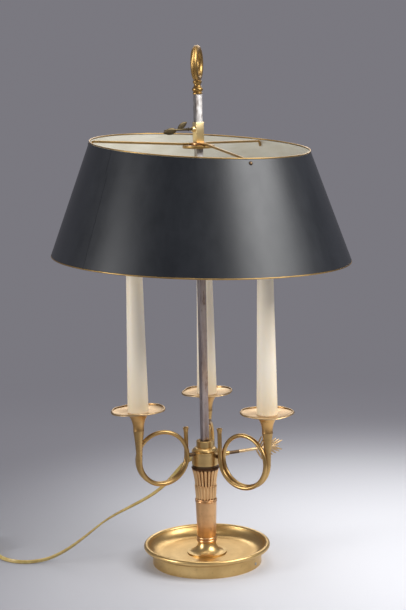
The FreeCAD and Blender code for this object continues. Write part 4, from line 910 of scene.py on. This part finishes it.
def make_knob():
    profile = [(0.0026, 0.6000), (0.0056, 0.6000), (0.0061, 0.6005), (0.0061, 0.6016),
               (0.0056, 0.6021), (0.0051, 0.6030)]
    profile += bow((0.0051, 0.6030), (0.0051, 0.6088), -0.28, 10)
    profile += [(0.0046, 0.6096), (0.0040, 0.6108), (0.0041, 0.6122), (0.0050, 0.6132),
                (0.0055, 0.6146), (0.0056, 0.6160), (0.0050, 0.6168), (0.0004, 0.6168)]
    knob = turned(profile, sides=64, capped=True)
    return finish_piece(knob, "turned_knob", "lamp", [RING], ["finial_knob"], 30)


def make_ring():
    """Ring of round section, with a groove along its outer side."""
    arc = 360 - 2 * GROOVE_HALF_ANGLE
    profile = []
    for step in range(RING_STEPS + 1):
        angle = math.radians(GROOVE_HALF_ANGLE + arc * step / RING_STEPS)
        profile.append((RING_RADIUS + RING_WIRE_RADIUS * math.cos(angle),
                        RING_WIRE_RADIUS * math.sin(angle)))
    profile += [(RING_RADIUS + RING_WIRE_RADIUS - GROOVE_DEPTH, 0.0), profile[0]]
    ring = turned(profile, sides=144, closed=True)
    ring.matrix_world = RING_PLACE
    return finish_piece(ring, "grooved_ring", "lamp", [RING], ["finial_ring"], 30)


# Bulbs: thin flame-shaped glass round a filament

BULB_FOOT = 0.4040
BULB_WALL = 0.0006
FILAMENT_RADIUS = 0.00022
# One leg of the filament, from its foot up and over: reach from the middle and height
FILAMENT_LEG = ((0.0035, -0.004), (0.0032, 0.012), (0.0060, 0.034), (0.0045, 0.052))
FILAMENT_MIDDLE = 0.040


def make_bulb(arm):
    neck, belly = (0.0072, BULB_FOOT + 0.0030), (0.0153, BULB_FOOT + 0.0290)
    tip = (0.0022, BULB_FOOT + 0.0800)
    profile = [(0.0071, BULB_FOOT + 0.0003), neck]
    profile += bow(neck, belly, -0.09, 10) + bow(belly, tip, -0.13, 14)
    profile += [(0.0012, BULB_FOOT + 0.0828), (0.0002, BULB_FOOT + 0.0836)]
    bulb = turned(profile, sides=64, capped=True)
    wall = bulb.modifiers.new("wall", "SOLIDIFY")
    wall.thickness = BULB_WALL
    wall.offset = -1
    apply_modifiers(bulb)
    stand_on_arm(bulb, arm)
    finish_piece(bulb, "flame_glass_" + arm, "lamp", [GLASS], ["bulb_glass_" + arm], 60)

    line = [(-reach, 0, BULB_FOOT + height) for reach, height in FILAMENT_LEG]
    line += [(0.0, 0, BULB_FOOT + FILAMENT_MIDDLE)]
    line += [(reach, 0, BULB_FOOT + height) for reach, height in reversed(FILAMENT_LEG)]
    filament = as_mesh(route_curve("filament", line, FILAMENT_RADIUS))
    stand_on_arm(filament, arm)
    finish_piece(filament, "filament_" + arm, "lamp", [STEEL])


# Small screw in the wall of the foot ring

SCREW_PLACE = outward(-29.0, 0.0062) @ Matrix.Translation((0, 0, 0.0700))


def make_foot_screw():
    head = turned([(0.0020, 0.0), (0.0020, 0.0004), (0.0017, 0.0009), (0.0010, 0.0012),
                   (0.0006, 0.0012), (0.0004, 0.0006), (0.0001, 0.0005)], sides=32, capped=True)
    head.matrix_world = SCREW_PLACE
    finish_piece(head, "foot_ring_screw", "lamp", [STEEL])


make_shade()
for arm in ARMS:
    make_pan(arm)
    make_bulb(arm)
make_capital()
make_arrow_tail()
make_key()
make_knob()
make_ring()
make_foot_screw()

# CAD pieces with rounded edges: the rounding's width, body, slot and material
for softened_piece in (
        ("square_rod", 0.0004, "lamp", "bright_steel", ROD),
        ("shade_sleeve", 0.0004, "shade", "brass", SLEEVE),
        ("sleeve_ring", 0.0005, "shade", "copper_brass", COPPER),
        ("spider_hub", 0.0006, "shade", "gilt", GILT),
        ("switch_base", 0.0010, "lamp", "gold_plastic", FITTING),
        ("switch_cover", 0.0016, "lamp", "gold_plastic", FITTING),
        ("switch_rocker", 0.0006, "switch_rocker", "gold_plastic", FITTING),
        ("plug_body", 0.0022, "lamp", "gold_plastic", FITTING)):
    softened(*softened_piece)


# Stage: pale floor and backdrop, soft lamps

BACKDROP = (0.195, 0.19, 0.215)
SKY = (0.80, 0.81, 0.84)
SKY_STRENGTH = 0.58
FLOOR_SIZE = 80
FLOOR_FAR = (0.165, 0.16, 0.18)
# Middle of the painted pool of light on the floor, and distances over which it turns greyer
LIT_POOL_MIDDLE = (0.28, 0.02, 0.0)
LIT_POOL_EDGE = (0.05, 0.80)
# Distances from the lamp over which the floor fades into the backdrop
FADE_EDGE = (0.42, 1.2)
# Each lamp's name, place, target, width, height and power
LAMPS = (
    ("soft_left", (-1.75, -0.75, 0.65), (0, 0, 0.2), 0.5, 0.8, 17),
    ("soft_right", (1.45, -0.80, 1.65), (0, 0, 0.35), 1.5, 1.0, 44),
    ("soft_top", (0.0, 0.1, 2.2), (0, 0, 0.3), 0.9, 0.9, 10),
    ("soft_back", (0.2, 1.7, 1.25), (0, 0, 0.2), 1.5, 0.7, 10),
)


def seen_directly(tree):
    """1 for rays from the camera, reflections and glass, 0 for the light on the object."""
    rays = tree.nodes.new("ShaderNodeLightPath")
    seen = rays.outputs["Is Camera Ray"]
    for kind in ("Is Glossy Ray", "Is Transmission Ray"):
        either = tree.nodes.new("ShaderNodeMath")
        either.operation = "MAXIMUM"
        tree.links.new(seen, either.inputs[0])
        tree.links.new(rays.outputs[kind], either.inputs[1])
        seen = either.outputs[0]
    return seen


def make_stage():
    """Pale paper with a painted pool of light, greyer away from it, that fades into the backdrop
    far off.
    """
    deselect()
    bpy.ops.mesh.primitive_plane_add(size=FLOOR_SIZE, location=(0, 0, 0))
    floor = bpy.context.object
    floor.name = "floor"
    finish = Finish("floor_paper")
    finish.set(Roughness=0.9)

    def spread(middle, near, far):
        """0 near a point of the floor and 1 far from it."""
        apart = finish.add("ShaderNodeVectorMath", operation="SUBTRACT")
        finish.link(finish.place, apart.inputs[0])
        apart.inputs[1].default_value = middle
        away = finish.add("ShaderNodeVectorMath", operation="LENGTH")
        finish.link(apart.outputs[0], away.inputs[0])
        fade = finish.add("ShaderNodeMapRange", interpolation_type="SMOOTHSTEP")
        fade.inputs["From Min"].default_value = near
        fade.inputs["From Max"].default_value = far
        finish.link(away.outputs["Value"], fade.inputs["Value"])
        return fade.outputs["Result"]

    # The pale part is a painted pool of light; the floor turns greyer away from it
    pale = finish.ramp(finish.noise(1.2), (0.3, (0.65, 0.65, 0.68)), (0.7, (0.68, 0.68, 0.71)))
    finish.colour(finish.mix(spread(LIT_POOL_MIDDLE, *LIT_POOL_EDGE), pale, FLOOR_FAR))
    share = finish.add("ShaderNodeMath", operation="MULTIPLY")
    finish.link(spread((0.0, 0.0, 0.0), *FADE_EDGE), share.inputs[0])
    finish.link(seen_directly(finish.tree), share.inputs[1])
    glow = finish.add("ShaderNodeEmission")
    glow.inputs["Color"].default_value = (*BACKDROP, 1)
    mixed = finish.add("ShaderNodeMixShader")
    finish.link(share.outputs[0], mixed.inputs[0])
    finish.link(finish.shader.outputs[0], mixed.inputs[1])
    finish.link(glow.outputs[0], mixed.inputs[2])
    finish.link(mixed.outputs[0], finish.tree.nodes["Material Output"].inputs["Surface"])
    coat(floor, finish.material)


def make_world():
    world = bpy.data.worlds.new("studio")
    bpy.context.scene.world = world
    world.use_nodes = True
    tree = world.node_tree
    background = tree.nodes["Background"]
    background.inputs["Color"].default_value = (*SKY, 1)
    background.inputs["Strength"].default_value = SKY_STRENGTH
    backdrop = tree.nodes.new("ShaderNodeBackground")
    backdrop.inputs["Color"].default_value = (*BACKDROP, 1)
    mixed = tree.nodes.new("ShaderNodeMixShader")
    tree.links.new(seen_directly(tree), mixed.inputs[0])
    tree.links.new(background.outputs[0], mixed.inputs[1])
    tree.links.new(backdrop.outputs[0], mixed.inputs[2])
    tree.links.new(mixed.outputs[0], tree.nodes["World Output"].inputs["Surface"])


def add_lamp(name, place, target, width, height, power):
    data = bpy.data.lights.new(name, "AREA")
    data.shape = "RECTANGLE"
    data.size = width
    data.size_y = height
    data.energy = power
    lamp = bpy.data.objects.new(name, data)
    lamp.visible_camera = False
    bpy.context.scene.collection.objects.link(lamp)
    aim = (Vector(target) - Vector(place)).to_track_quat("-Z", "Y").to_matrix().to_4x4()
    lamp.matrix_world = Matrix.Translation(place) @ aim


make_stage()
make_world()
for lamp in LAMPS:
    add_lamp(*lamp)

bpy.context.scene.view_settings.view_transform = "Standard"
